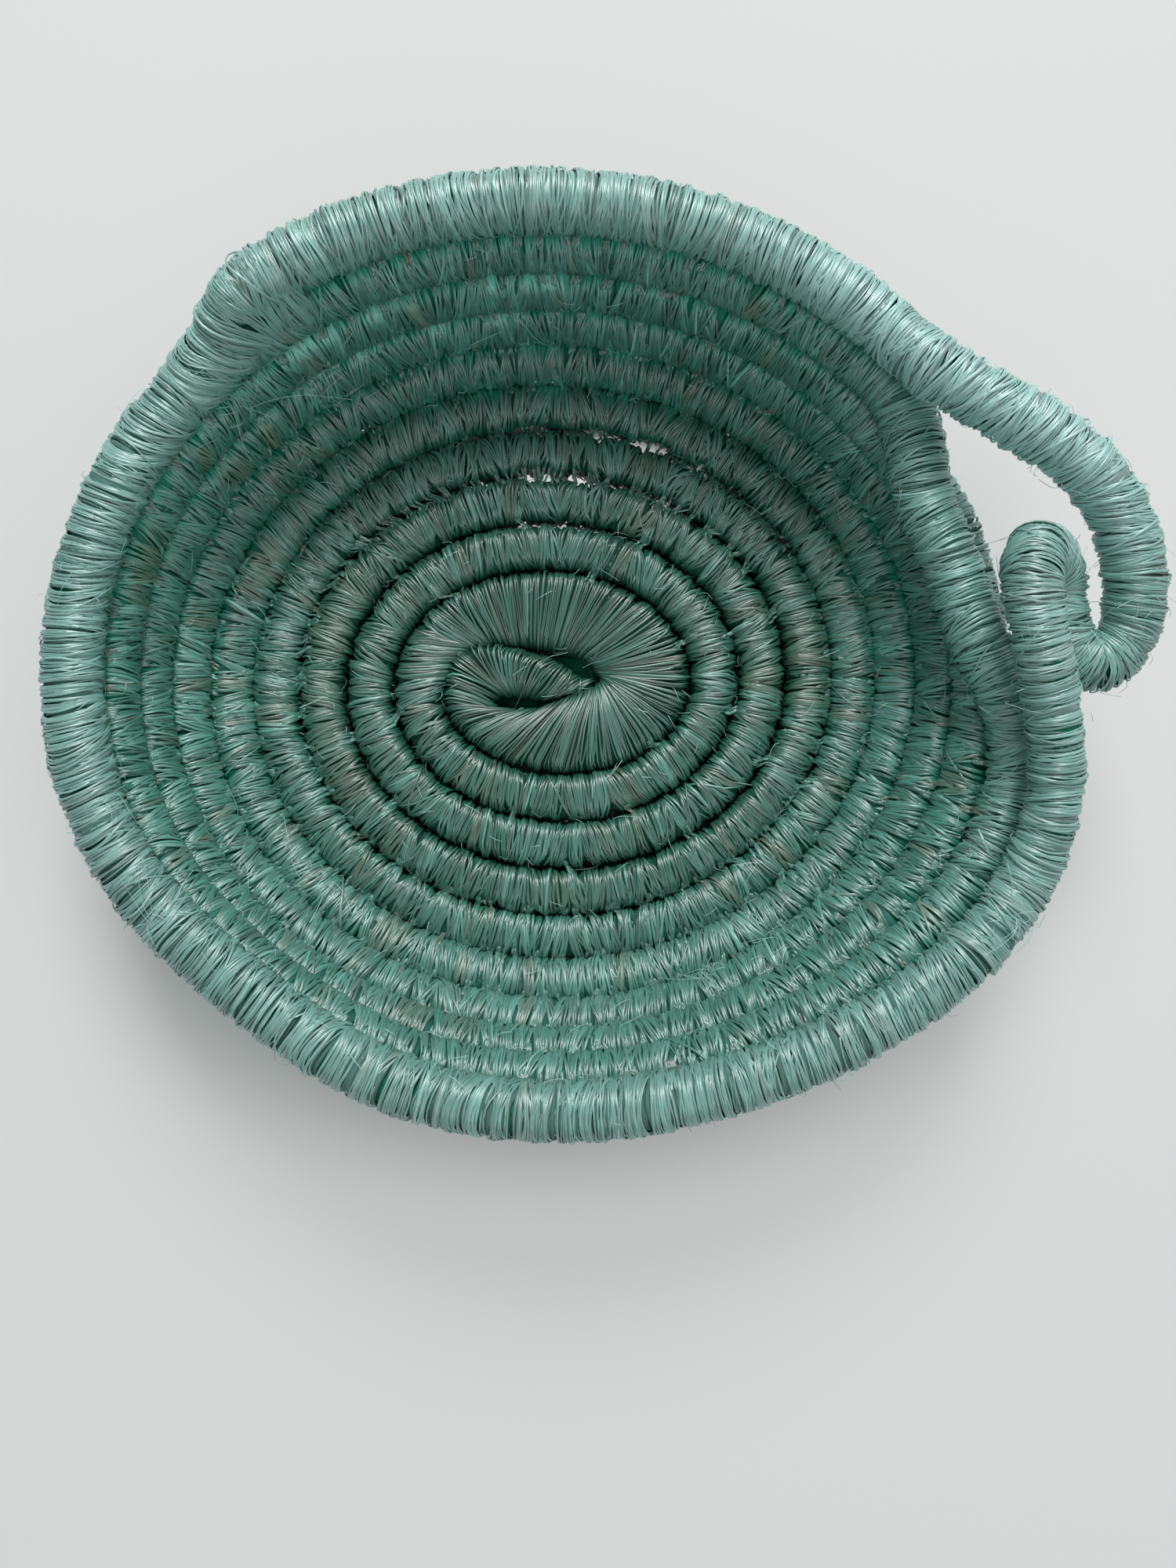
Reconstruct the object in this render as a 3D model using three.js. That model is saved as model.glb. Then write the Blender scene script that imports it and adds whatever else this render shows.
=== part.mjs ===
// Coiled rope basket: one wrapped rope wound from the centre of the base out to the rim.
// The last turn leaves the rim on one side as a free, kinked handle loop and ends as a tail on the rim.
// Millimetres, +Z up. The origin lies under the start of the rope, on the flat the basket stands on.
// +X points at the handle side.
import * as THREE from 'three';

// Rope section: width between neighbouring turns, height through the wall
const ROPE_WIDTH = 13.5;
const ROPE_HEIGHT = 16.0;
const WRAP_THICKNESS = 1.6;
const HANDLE_DIAMETER = 15.5;
const TURN_GAP = 0.65;
const SEAT_CLEARANCE = 0.3;

// Course of the spiral, counted in turns from +X, counter-clockwise seen from above
const START_TURN = 0.13;
const LOWER_ROOT_TURN = 9.93;
const UPPER_ROOT_TURN = 10.13;
const END_TURN = 10.36;
const STEPS_PER_TURN = 20;

// Plan and profile of the bowl, measured on the rope's centreline
const CENTRE_RADIUS = 9.1;
const ELONGATION = 10.5;
const BASE_RADIUS = 71.0;
const BEND_RADIUS = 35.4;
const WALL_ANGLE = 74;

// Where the wall leans out beside the handle, and where it stands up straighter
const FLARE_ANGLE = 20;
const FLARE_AT = -24;
const FLARE_SPREAD = 30;
const STEEP_ANGLE = 10;
const STEEP_AT = 229;
const STEEP_SPREAD = 18;

// The turn under the handle is pushed inwards, over the turn below it
const PUSHED_LEAN = 48;
const PUSHED_TURNS = [8.7, 9.3];
const PUSHED_FROM = [-14, 10];
const PUSHED_TO = [24, 44];

// The start of the rope is drawn in across the middle line, by a share of its distance from that line,
// and the wrap of the first turn reaches in to the start
const START_TUCK = 1.2;
const START_TUCK_END = 0.56;
const START_ROPE_WIDTH = 10.5;
const FULL_WIDTH_TURN = 0.75;
const FIRST_REACH = 8.0;
const FIRST_REACH_TURNS = [0.6, 0.95, 1.15, 1.4];

// Route of the handle: share of the way from root to root, then mm outwards and mm upwards
const HANDLE_ROUTE = [
  [0.14, 10.5, 4.5],
  [0.3, 13.3, 8.8],
  [0.43, 13.2, 12.6],
  [0.51, 14.8, 11.6],
  [0.555, 21.6, 4.0],
  [0.51, 27.2, -4.4],
  [0.435, 26.0, -5.4],
  [0.368, 27.4, -5.2],
  [0.335, 33.0, -3.8],
  [0.37, 40.5, -2.2],
  [0.457, 44.4, 0.8],
  [0.55, 44.3, 2.9],
  [0.66, 39.1, 4.8],
  [0.742, 30.3, 5.5],
  [0.824, 19.0, 5.3],
  [0.916, 7.0, 3.6],
];
const HANDLE_STEPS = 44;
const JOINT_GAP = 3.0;
const DOME_RINGS = [75, 45, 15];

// Stitches that tie each turn to the one before, and the broader bindings at the roots and the end,
// which span two turns
const STITCH_THICKNESS = 1.0;
const STITCH_WIDTH = 3.0;
const FIRST_STITCH_TURN = 0.63;
const LAST_STITCH_TURN = 8.86;
const STITCH_SPACING = 5.5;
const BINDING_WIDTH = 9.0;
const BINDING_SPAN = 2;

const PITCH = ROPE_WIDTH + TURN_GAP;
const BASE_HEIGHT = ROPE_HEIGHT / 2;
const TURN = 2 * Math.PI;
const SIDES = 6;
const SMALL_STEP = 1e-4;

const WRAP_COLOUR = 0x8fc9b6;
const STITCH_COLOUR = 0xa6d6c5;
const CORE_COLOUR = 0xb7a67c;
const WRAP_ROUGHNESS = 0.55;
const STITCH_ROUGHNESS = 0.6;
const CORE_ROUGHNESS = 0.9;

const radians = THREE.MathUtils.degToRad;
const smooth = THREE.MathUtils.smoothstep;

// Signed difference of two bearings in degrees, from -180 to 180
function bearingGap(a, b) {
  return THREE.MathUtils.euclideanModulo(a - b + 180, 360) - 180;
}

function swell(bearing, at, spread) {
  return Math.exp(-((bearingGap(bearing, at) / spread) ** 2));
}

function wallAngle(bearing) {
  const flare = FLARE_ANGLE * swell(bearing, FLARE_AT, FLARE_SPREAD);
  const steep = STEEP_ANGLE * swell(bearing, STEEP_AT, STEEP_SPREAD);
  return radians(WALL_ANGLE - flare + steep);
}

// Point of the bowl's surface: `turns` winds along the profile, `bearing` goes round the bowl
function surfacePoint(turns, bearing) {
  const along = CENTRE_RADIUS + PITCH * turns;
  const wall = wallAngle(THREE.MathUtils.radToDeg(bearing));
  const bent = THREE.MathUtils.clamp((along - BASE_RADIUS) / BEND_RADIUS, 0, wall);
  const straight = Math.max(along - BASE_RADIUS - BEND_RADIUS * wall, 0);
  const radius = Math.min(along, BASE_RADIUS) + BEND_RADIUS * Math.sin(bent) + straight * Math.cos(wall);
  const rise = BEND_RADIUS * (1 - Math.cos(bent)) + straight * Math.sin(wall);
  return new THREE.Vector3(
    (radius + ELONGATION) * Math.cos(bearing),
    radius * Math.sin(bearing),
    BASE_HEIGHT + rise,
  );
}

// Share of the full lean at a place of the rope, 0 where the turn is not pushed in
function pushedIn(turns, bearing) {
  if (turns < PUSHED_TURNS[0] || turns > PUSHED_TURNS[1]) return 0;
  const degrees = bearingGap(THREE.MathUtils.radToDeg(bearing), 0);
  return smooth(degrees, ...PUSHED_FROM) * (1 - smooth(degrees, ...PUSHED_TO));
}

// The pushed-in turn rolls over the turn below without coming closer to it
function rolledOver(point, turns, bearing) {
  const inwards = pushedIn(turns, bearing);
  const below = surfacePoint(turns - 1, bearing);
  const tangent = new THREE.Vector3(-Math.sin(bearing), Math.cos(bearing), 0);
  return point.sub(below).applyAxisAngle(tangent, -radians(PUSHED_LEAN) * inwards).add(below);
}

function centreline(turns, bearing = turns * TURN) {
  const point = rolledOver(surfacePoint(turns, bearing), turns, bearing);
  point.y *= 1 - START_TUCK * (1 - smooth(turns, START_TURN, START_TUCK_END));
  return point;
}

// A station holds a point of the rope and its axes: along the rope, along the wall, out of the wall
function bowlStation(turns) {
  const at = centreline(turns);
  const along = centreline(turns + SMALL_STEP).sub(centreline(turns - SMALL_STEP)).normalize();
  const across = centreline(turns + SMALL_STEP, turns * TURN);
  across.sub(centreline(turns - SMALL_STEP, turns * TURN));
  across.addScaledVector(along, -across.dot(along)).normalize();
  const out = new THREE.Vector3().crossVectors(across, along);
  return { at, along, across, out, turns };
}

// Turns that cover a given length of rope near a place
function turnsFor(length, turns) {
  const speed = centreline(turns + SMALL_STEP).distanceTo(centreline(turns - SMALL_STEP)) / (2 * SMALL_STEP);
  return length / speed;
}

// Stations keep the same bearings on every turn, so neighbouring turns stay parallel
function stationTurns(step) {
  return START_TURN + step / STEPS_PER_TURN;
}

function stepAt(turns) {
  return (turns - START_TURN) * STEPS_PER_TURN;
}

// Section of the faceted rope at any place: between two stations its facets are straight
function facetRing(turns, ringOf) {
  const step = Math.floor(stepAt(turns) + SMALL_STEP);
  const ends = [step, step + 1].map((s) => ringOf(bowlStation(stationTurns(s))));
  const share = stepAt(turns) - step;
  return ends[0].map((corner, side) => corner.clone().lerp(ends[1][side], share));
}

function runRings(from, to, ringOf) {
  const rings = [facetRing(from, ringOf)];
  for (let step = Math.floor(stepAt(from) + 1 + SMALL_STEP); step < stepAt(to) - SMALL_STEP; step += 1) {
    rings.push(ringOf(bowlStation(stationTurns(step))));
  }
  rings.push(facetRing(to, ringOf));
  return rings;
}

// Six-sided section with flats on the wall's faces; `reach` widens the side towards the centre
function sectionRing(station, width, height, reach = 0) {
  const corners = [
    [width / 2, 0],
    [width / 4, height / 2],
    [-width / 4 - reach, height / 2],
    [-width / 2 - reach, 0],
    [-width / 4 - reach, -height / 2],
    [width / 4, -height / 2],
  ];
  return corners.map(([across, out]) =>
    station.at.clone().addScaledVector(station.across, across).addScaledVector(station.out, out));
}

// Reach of the first turn's wrap towards the start of the rope
function firstReach(turns) {
  const [rise, full, fall, none] = FIRST_REACH_TURNS;
  return FIRST_REACH * smooth(turns, rise, full) * (1 - smooth(turns, fall, none));
}

function meshFrom(points, triangles) {
  const geometry = new THREE.BufferGeometry();
  geometry.setAttribute('position', new THREE.Float32BufferAttribute(points.flatMap((p) => p.toArray()), 3));
  geometry.setIndex(triangles.flat());
  geometry.computeVertexNormals();
  return geometry;
}

// Wall between consecutive rings; `flip` turns its faces inwards for a bore
function ringWall(ringCount, sides, offset, flip) {
  const faces = [];
  for (let ring = 0; ring + 1 < ringCount; ring += 1) {
    for (let side = 0; side < sides; side += 1) {
      const next = (side + 1) % sides;
      const a = offset + ring * sides + side;
      const b = offset + ring * sides + next;
      const c = a + sides;
      const d = b + sides;
      if (flip) faces.push([a, b, c], [b, d, c]);
      else faces.push([a, c, b], [b, c, d]);
    }
  }
  return faces;
}

function solidTube(rings) {
  const last = (rings.length - 1) * SIDES;
  const faces = ringWall(rings.length, SIDES, 0, false);
  for (let side = 1; side + 1 < SIDES; side += 1) {
    faces.push([0, side, side + 1], [last, last + side + 1, last + side]);
  }
  return meshFrom(rings.flat(), faces);
}

// Sleeve that is open at both ends
function hollowTube(outer, inner) {
  const bore = outer.length * SIDES;
  const outerEnd = (outer.length - 1) * SIDES;
  const boreEnd = bore + (inner.length - 1) * SIDES;
  const faces = [...ringWall(outer.length, SIDES, 0, false), ...ringWall(inner.length, SIDES, bore, true)];
  for (let side = 0; side < SIDES; side += 1) {
    const next = (side + 1) % SIDES;
    faces.push([side, next, bore + side], [next, bore + next, bore + side]);
    faces.push([outerEnd + side, boreEnd + side, outerEnd + next]);
    faces.push([outerEnd + next, boreEnd + side, boreEnd + next]);
  }
  return meshFrom([...outer.flat(), ...inner.flat()], faces);
}

// Sizes of bore and core that follow from a wrapped section
function boreSize(size) {
  return size - 2 * WRAP_THICKNESS;
}

function coreSize(size) {
  return boreSize(size) - 2 * SEAT_CLEARANCE / Math.cos(Math.PI / SIDES);
}

// The rope tapers towards its start
function ropeWidth(turns) {
  return THREE.MathUtils.lerp(START_ROPE_WIDTH, ROPE_WIDTH, smooth(turns, START_TURN, FULL_WIDTH_TURN));
}

function bowlWrapRing(station) {
  return sectionRing(station, ropeWidth(station.turns), ROPE_HEIGHT, firstReach(station.turns));
}

function bowlBoreRing(station) {
  return sectionRing(station, boreSize(ropeWidth(station.turns)), boreSize(ROPE_HEIGHT));
}

function bowlCoreRing(station) {
  return sectionRing(station, coreSize(ropeWidth(station.turns)), coreSize(ROPE_HEIGHT));
}

function handleRing(station, diameter) {
  return sectionRing(station, diameter, diameter * Math.cos(Math.PI / SIDES));
}

// Largest ball that turns freely in the rope's bore
const BALL_RADIUS = (boreSize(ROPE_WIDTH) / 2) * Math.cos(Math.PI / SIDES) - SEAT_CLEARANCE;

// The handle turns about the line through its two roots
const lowerRoot = centreline(LOWER_ROOT_TURN);
const upperRoot = centreline(UPPER_ROOT_TURN);
const chord = upperRoot.clone().sub(lowerRoot);
const hingeAxis = chord.clone().normalize();
const handleOut = new THREE.Vector3().crossVectors(hingeAxis, new THREE.Vector3(0, 0, 1)).normalize();
const handleUp = new THREE.Vector3().crossVectors(handleOut, hingeAxis);

function handleStations() {
  const knots = HANDLE_ROUTE.map(([share, outwards, upwards]) =>
    lowerRoot.clone().addScaledVector(chord, share)
      .addScaledVector(handleOut, outwards).addScaledVector(handleUp, upwards));
  const lead = turnsFor(ROPE_HEIGHT, LOWER_ROOT_TURN);
  const ends = [centreline(LOWER_ROOT_TURN - lead), centreline(UPPER_ROOT_TURN + lead)];
  const curve = new THREE.CatmullRomCurve3([ends[0], lowerRoot, ...knots, upperRoot, ends[1]]);
  const spans = knots.length + 3;
  const places = [];
  for (let step = 0; step <= HANDLE_STEPS; step += 1) {
    places.push((1 + (step / HANDLE_STEPS) * (spans - 2)) / spans);
  }
  const stations = [];
  let across = bowlStation(LOWER_ROOT_TURN).across.clone();
  for (const place of places) {
    const along = curve.getPoint(place + SMALL_STEP).sub(curve.getPoint(place - SMALL_STEP)).normalize();
    across = across.clone().addScaledVector(along, -across.dot(along)).normalize();
    const out = new THREE.Vector3().crossVectors(across, along);
    stations.push({ at: curve.getPoint(place), along, across, out });
  }
  return stations;
}

function moved(station, distance) {
  return { ...station, at: station.at.clone().addScaledVector(station.along, distance) };
}

// Dome that seats the end of the handle's core in the rope's bore; direction is -1 at the start
function domeRings(station, direction) {
  return DOME_RINGS.map((degrees) => {
    const place = moved(station, direction * BALL_RADIUS * Math.sin(radians(degrees)));
    return handleRing(place, 2 * BALL_RADIUS * Math.cos(radians(degrees)));
  });
}

// The handle's sleeve starts and ends half a joint gap away from its roots
function sleeveStations(stations) {
  const cut = JOINT_GAP / 2;
  return [moved(stations[0], cut), ...stations.slice(1, -1), moved(stations.at(-1), -cut)];
}

function handleCore(stations) {
  const sleeve = sleeveStations(stations);
  const neck = (station) => handleRing(station, 2 * BALL_RADIUS);
  const middle = sleeve.slice(1, -1).map((s) => handleRing(s, coreSize(HANDLE_DIAMETER)));
  const start = [...domeRings(stations[0], -1), neck(sleeve[0])];
  const end = [neck(sleeve.at(-1)), ...domeRings(stations.at(-1), 1).reverse()];
  return solidTube([...start, ...middle, ...end]);
}

function handleWrap(stations) {
  const sleeve = sleeveStations(stations);
  const outer = sleeve.map((s) => handleRing(s, HANDLE_DIAMETER));
  const bore = sleeve.map((s) => handleRing(s, boreSize(HANDLE_DIAMETER)));
  return hollowTube(outer, bore);
}

// Wrapped rope from one place to another; at a joint the sleeve and the core stop short of the root
function ropeRun(from, to, jointAtStart, jointAtEnd) {
  const run = (cut, ringOf) => runRings(
    jointAtStart ? from + turnsFor(cut, from) : from,
    jointAtEnd ? to - turnsFor(cut, to) : to,
    ringOf,
  );
  const wrapRings = run(JOINT_GAP / 2, bowlWrapRing);
  return {
    wrapRings,
    wrap: hollowTube(wrapRings, run(JOINT_GAP / 2, bowlBoreRing)),
    core: solidTube(run(BALL_RADIUS + SEAT_CLEARANCE, bowlCoreRing)),
  };
}

// Section of the wrapped rope, grown by a clearance about its centre
function grownRing(turns, clearance) {
  const ring = facetRing(turns, bowlWrapRing);
  const centre = ring.reduce((sum, corner) => sum.add(corner), new THREE.Vector3()).divideScalar(SIDES);
  const inscribed = (ROPE_WIDTH / 2) * Math.cos(Math.PI / SIDES);
  const growth = 1 + clearance / inscribed;
  return ring.map((corner) => centre.clone().lerp(corner, growth));
}

// Strap bent over two neighbouring turns, as one bent strip of even thickness
function strap(turns, width, corners) {
  const under = corners(SEAT_CLEARANCE);
  const over = corners(SEAT_CLEARANCE + STITCH_THICKNESS);
  const step = Math.floor(stepAt(turns));
  const along = bowlStation(stationTurns(step + 1)).at.sub(bowlStation(stationTurns(step)).at).normalize();
  const rings = under.map((low, index) => {
    const high = over[index];
    return [[low, -1], [low, 1], [high, 1], [high, -1]].map(([corner, side]) =>
      corner.clone().addScaledVector(along, (side * width) / 2));
  });
  const sides = 4;
  const last = (rings.length - 1) * sides;
  const faces = ringWall(rings.length, sides, 0, true);
  faces.push([0, 2, 1], [0, 3, 2], [last, last + 1, last + 2], [last, last + 2, last + 3]);
  return meshFrom(rings.flat(), faces);
}

function half(a, b) {
  return a.clone().lerp(b, 0.5);
}

// A stitch lies over the inner faces of a turn and the next one and tucks into the grooves beside them
function stitch(turns) {
  return strap(turns, STITCH_WIDTH, (clearance) => {
    const low = grownRing(turns, clearance);
    const high = grownRing(turns + 1, clearance);
    return [half(low[3], low[2]), low[2], low[1], high[2], high[1], half(high[1], high[0])];
  });
}

// A binding goes on over the rim and down the outer faces of the same two turns
function binding(turns) {
  return strap(turns, BINDING_WIDTH, (clearance) => {
    const low = grownRing(turns - 1, clearance);
    const high = grownRing(turns, clearance);
    const inside = [half(low[3], low[2]), low[2], low[1], high[2], high[1]];
    const outside = [high[5], high[4], low[5], low[4], half(low[4], low[3])];
    return [...inside, high[0], ...outside];
  });
}

// Least distance between surface points that lie more than `apart` along the same tube
function leastGap(rings, apart) {
  const points = [];
  rings.forEach((ring, index) => {
    ring.forEach((corner, side) => {
      const next = ring[(side + 1) % ring.length];
      points.push({ index, at: corner }, { index, at: half(corner, next) });
      const ahead = rings[index + 1];
      if (ahead) points.push({ index, at: half(corner, ahead[side]) });
    });
  });
  let least = Infinity;
  for (let i = 0; i < points.length; i += 1) {
    for (let j = i + 1; j < points.length; j += 1) {
      if (points[j].index - points[i].index > apart) {
        least = Math.min(least, points[i].at.distanceToSquared(points[j].at));
      }
    }
  }
  return Math.sqrt(least);
}

const basket = new THREE.Group();
basket.name = 'coiled_rope_basket';

function addPiece(name, geometry, colour, roughness) {
  const material = new THREE.MeshStandardMaterial({ color: colour, roughness, metalness: 0 });
  const mesh = new THREE.Mesh(geometry, material);
  mesh.name = name;
  basket.add(mesh);
}

// The rope of the bowl, from the centre to the lower root of the handle
const bowlRun = ropeRun(START_TURN, LOWER_ROOT_TURN, false, true);
addPiece('bowl_wrap', bowlRun.wrap, WRAP_COLOUR, WRAP_ROUGHNESS);
addPiece('bowl_core', bowlRun.core, CORE_COLOUR, CORE_ROUGHNESS);

// The free loop of the same rope
const loop = handleStations();
addPiece('handle_wrap', handleWrap(loop), WRAP_COLOUR, WRAP_ROUGHNESS);
addPiece('handle_core', handleCore(loop), CORE_COLOUR, CORE_ROUGHNESS);

// The tail of the rope, which lies on the rim from the upper root to the rope's end
const tailRun = ropeRun(UPPER_ROOT_TURN, END_TURN, true, false);
addPiece('tail_wrap', tailRun.wrap, WRAP_COLOUR, WRAP_ROUGHNESS);
addPiece('tail_core', tailRun.core, CORE_COLOUR, CORE_ROUGHNESS);

// A strap sits half way along the facets that hold a place
function midFacet(turns) {
  return stationTurns(Math.floor(stepAt(turns)) + 0.5);
}

// Bindings at the two roots of the handle and at the rope's end
const binders = {
  handle_lower_binding: midFacet(LOWER_ROOT_TURN - turnsFor(JOINT_GAP, LOWER_ROOT_TURN)),
  handle_upper_binding: midFacet(UPPER_ROOT_TURN + turnsFor(JOINT_GAP, UPPER_ROOT_TURN)),
  rope_end_binding: END_TURN - turnsFor(BINDING_WIDTH, END_TURN),
};
for (const [name, turns] of Object.entries(binders)) {
  addPiece(name, binding(turns), STITCH_COLOUR, STITCH_ROUGHNESS);
}

// Stitches, spaced so that those of neighbouring seams never meet in a groove.
// The pushed-in stretch lies loose on the turn below and has none, and none lies under a binding.
const stitchTurns = [];
const underBinding = (turns) =>
  Object.values(binders).some((bound) => Math.abs(bound - BINDING_SPAN - turns) < 1 / STEPS_PER_TURN);
for (let step = stepAt(FIRST_STITCH_TURN); step <= stepAt(LAST_STITCH_TURN); step += STITCH_SPACING) {
  const turns = midFacet(stationTurns(step));
  const loose = pushedIn(turns + 1, turns * TURN) > 0;
  if (!loose && !underBinding(turns)) stitchTurns.push(turns);
}
stitchTurns.forEach((turns, index) => {
  addPiece(`stitch_${String(index + 1).padStart(2, '0')}`, stitch(turns), STITCH_COLOUR, STITCH_ROUGHNESS);
});

// Half a turn of the bowl, or a fifth of the handle, counts as another stretch of the rope
const bowlGap = leastGap(bowlRun.wrapRings, STEPS_PER_TURN / 2);
const loopGap = leastGap(loop.map((s) => handleRing(s, HANDLE_DIAMETER)), HANDLE_STEPS / 5);
console.log('bowl_wrap least gap to itself, mm:', bowlGap.toFixed(2));
console.log('handle_wrap least gap to itself, mm:', loopGap.toFixed(2));
console.log('handle hinge, mm:', lowerRoot.toArray().map((v) => v.toFixed(3)).join(' '));
console.log('handle hinge axis:', hingeAxis.toArray().map((v) => v.toFixed(5)).join(' '));

export default basket;
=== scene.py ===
import bpy
import numpy as np
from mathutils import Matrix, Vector


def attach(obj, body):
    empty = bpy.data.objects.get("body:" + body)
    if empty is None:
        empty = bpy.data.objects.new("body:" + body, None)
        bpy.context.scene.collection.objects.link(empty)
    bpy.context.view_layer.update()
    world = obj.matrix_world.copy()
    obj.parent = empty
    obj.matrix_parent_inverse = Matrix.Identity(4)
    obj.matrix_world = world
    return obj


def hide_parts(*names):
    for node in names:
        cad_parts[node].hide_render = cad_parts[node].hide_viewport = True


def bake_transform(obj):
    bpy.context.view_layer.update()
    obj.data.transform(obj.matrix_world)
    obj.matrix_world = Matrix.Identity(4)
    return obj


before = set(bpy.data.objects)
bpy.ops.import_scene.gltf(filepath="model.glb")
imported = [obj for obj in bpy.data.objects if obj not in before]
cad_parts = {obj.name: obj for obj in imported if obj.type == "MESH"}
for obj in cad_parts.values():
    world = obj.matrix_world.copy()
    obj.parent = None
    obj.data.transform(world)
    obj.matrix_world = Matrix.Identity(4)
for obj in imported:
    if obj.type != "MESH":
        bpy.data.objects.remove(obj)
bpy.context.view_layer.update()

MM = 0.001
TURN = 2 * np.pi
SEED = 7

# The rope and its course, with the values of the part's source: places in turns, angles in degrees
PITCH = 14.15 * MM
ROPE_HEIGHT = 16.0 * MM
HANDLE_DIAMETER = 15.5 * MM
START_TURN = 0.13
LOWER_ROOT_TURN = 9.93
UPPER_ROOT_TURN = 10.13
CENTRE_RADIUS = 9.1 * MM
ELONGATION = 10.5 * MM
BASE_RADIUS = 71.0 * MM
BEND_RADIUS = 35.4 * MM
WALL_ANGLE = 74

# Where the wall flares and where it is steep: by how much, at which bearing and how widely
FLARE = (20, -24, 30)
STEEP = (10, 229, 18)

# The upper turns beside the handle are pushed in: how far they lean, in which turns and at which bearings
PUSHED_LEAN = 48
PUSHED_TURNS = (8.7, 9.3)
PUSHED_FROM = (-14, 10)
PUSHED_TO = (24, 44)

# Share by which the start of the rope is drawn across the long axis, and the turn where that ends
START_TUCK = 1.2
START_TUCK_END = 0.56

# The handle's way: share of the line between its roots, then outwards and upwards from it in mm
HANDLE_ROUTE = [
    (0.14, 10.5, 4.5), (0.3, 13.3, 8.8), (0.43, 13.2, 12.6), (0.51, 14.8, 11.6),
    (0.555, 21.6, 4.0), (0.51, 27.2, -4.4), (0.435, 26.0, -5.4), (0.368, 27.4, -5.2),
    (0.335, 33.0, -3.8), (0.37, 40.5, -2.2), (0.457, 44.4, 0.8), (0.55, 44.3, 2.9),
    (0.66, 39.1, 4.8), (0.742, 30.3, 5.5), (0.824, 19.0, 5.3), (0.916, 7.0, 3.6),
]

# Fineness of courses, and the share of the handle at each end where its section becomes the rim's
RINGS_PER_TURN = 720
TURN_STEP = 1e-4
HANDLE_RINGS_PER_SPAN = 40
HANDLE_END_SHARE = 0.06

# Wrapped section: half sizes to the outside of the strands, depth of the core, and height over the floor
HALF_WIDTH = 7.6 * MM
HALF_HEIGHT = 7.9 * MM
HANDLE_FLUFF = 0.3 * MM
HALF_HANDLE = HANDLE_DIAMETER / 2 + HANDLE_FLUFF
BED_DEPTH = 1.9 * MM
FLOOR_GAP = 0.05 * MM

# Where the inner edge of the wrapping ends in the first turns: round a slit left of the middle, then
# gathered to a point right of it, as (turns, x, y) with x and y in mm
INNER_EDGE = [
    (0.20, 5.0, -3.5), (0.26, -2.0, -6.2), (0.34, -8.0, -5.0), (0.42, -13.0, -4.4),
    (0.48, -15.5, -5.0), (0.53, -15.5, -6.6), (0.58, -10.0, -7.8), (0.64, -3.0, -6.6),
    (0.70, 4.5, -2.8), (0.76, 10.0, 0.0), (0.86, 12.0, 0.4), (0.98, 12.0, 2.2),
    (1.08, 10.4, 5.2), (1.15, 6.6, 7.8), (1.21, 1.5, 8.8), (1.27, -5.0, 9.4),
    (1.34, -13.0, 11.2), (1.42, -21.0, 10.8),
]
INNER_EDGE_HEIGHT = 6.0 * MM
INNER_EDGE_FROM = (0.17, 0.25)
INNER_EDGE_TO = (1.4, 1.56)
INNER_EDGE_SIDE = (-0.6, 1.0)

# The rope is thinner at its start, which also lies lower, at its end, and a little on the base
TIP_TURNS = (0.19, 0.28)
TIP_SIZE = 0.55
TIP_DROP = 2.5 * MM
TAIL_END = 10.374
TAIL_TURNS = (10.35, 10.376)
TAIL_SIZE = 0.3
BASE_SLIMMING = 0.045
BASE_SLIM_TURNS = (3.8, 5.6)

# How square the rope's section is, as (turns, exponent)
SQUARENESS = [(3.5, 2.7), (5.5, 2.35), (8.8, 2.2), (9.2, 2.05)]

# How dark the strands are, as (turns, red, green, blue): greener fibre and painted shade, darkest on the fan
# and the base at the bottom of the bowl and less so up the wall
SHADES = [
    (1.2, 0.3, 0.5, 0.45),
    (1.9, 0.5, 0.64, 0.6),
    (3.8, 0.5, 0.64, 0.6),
    (5.6, 0.78, 0.9, 0.88),
    (8.6, 0.86, 0.96, 0.95),
    (9.2, 1, 1, 1),
]

# Gaps between two turns that let light through: turns of the inner one, then length and depth in mm
LEAKS = [
    (3.175, 4, 1.0), (3.232, 6, 1.2), (3.262, 9, 1.3), (3.323, 4, 1.0), (3.387, 5, 1.0),
    (4.097, 5, 1.1), (4.14, 6, 1.2), (4.165, 5, 1.3), (4.195, 8, 1.3), (4.226, 7, 1.2),
    (4.263, 9, 1.2), (4.297, 7, 1.1),
]
LEAK_FADE = (0.6, 1.3)

# How far the outer and the inner side of the rope lie in a groove, as (turns, share)
OUTER_COVER = [
    (7.96, 1), (7.99, 0.1), (8.12, 0.1), (8.15, 1), (8.9, 1),
    (8.94, 0.1), (9.12, 0.1), (9.15, 1), (9.36, 1), (9.39, 0),
]
INNER_COVER = [(9.92, 1), (9.94, 0.1), (10.12, 0.1), (10.14, 1)]

# Lean of the strands from square to the rope, as (turns, degrees)
UPRIGHT = [(0, 0)]
BOWL_LEAN = [
    (0.2, -36), (0.3, -22), (0.4, 0), (9.2, 0), (9.36, 14),
    (9.52, 16), (9.64, 0), (9.72, -10), (9.93, -6),
]
LOOP_LEAN = [(9.93, 4), (9.98, 2), (10.03, 10), (10.13, 14)]
END_LEAN = [(10, 22)]

# How pale the strands are, as (turns, share): paler fibre with painted light on the rim and handle, and
# painted light on a strip of wall near turn 8 that the rim shades
PALENESS = [
    (7.96, 0), (8, 0.4), (8.11, 0.4), (8.15, 0), (8.88, 0), (8.95, 0.45), (9.1, 0.45),
    (9.16, 0.1), (9.33, 0.1), (9.4, 0.5), (9.55, 0.48), (9.72, 0.36), (9.93, 0.5), (9.97, 0.52),
    (10.03, 0.32), (10.06, 0.4), (10.09, 1.0), (10.13, 1.0), (10.2, 0.5),
]

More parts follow.
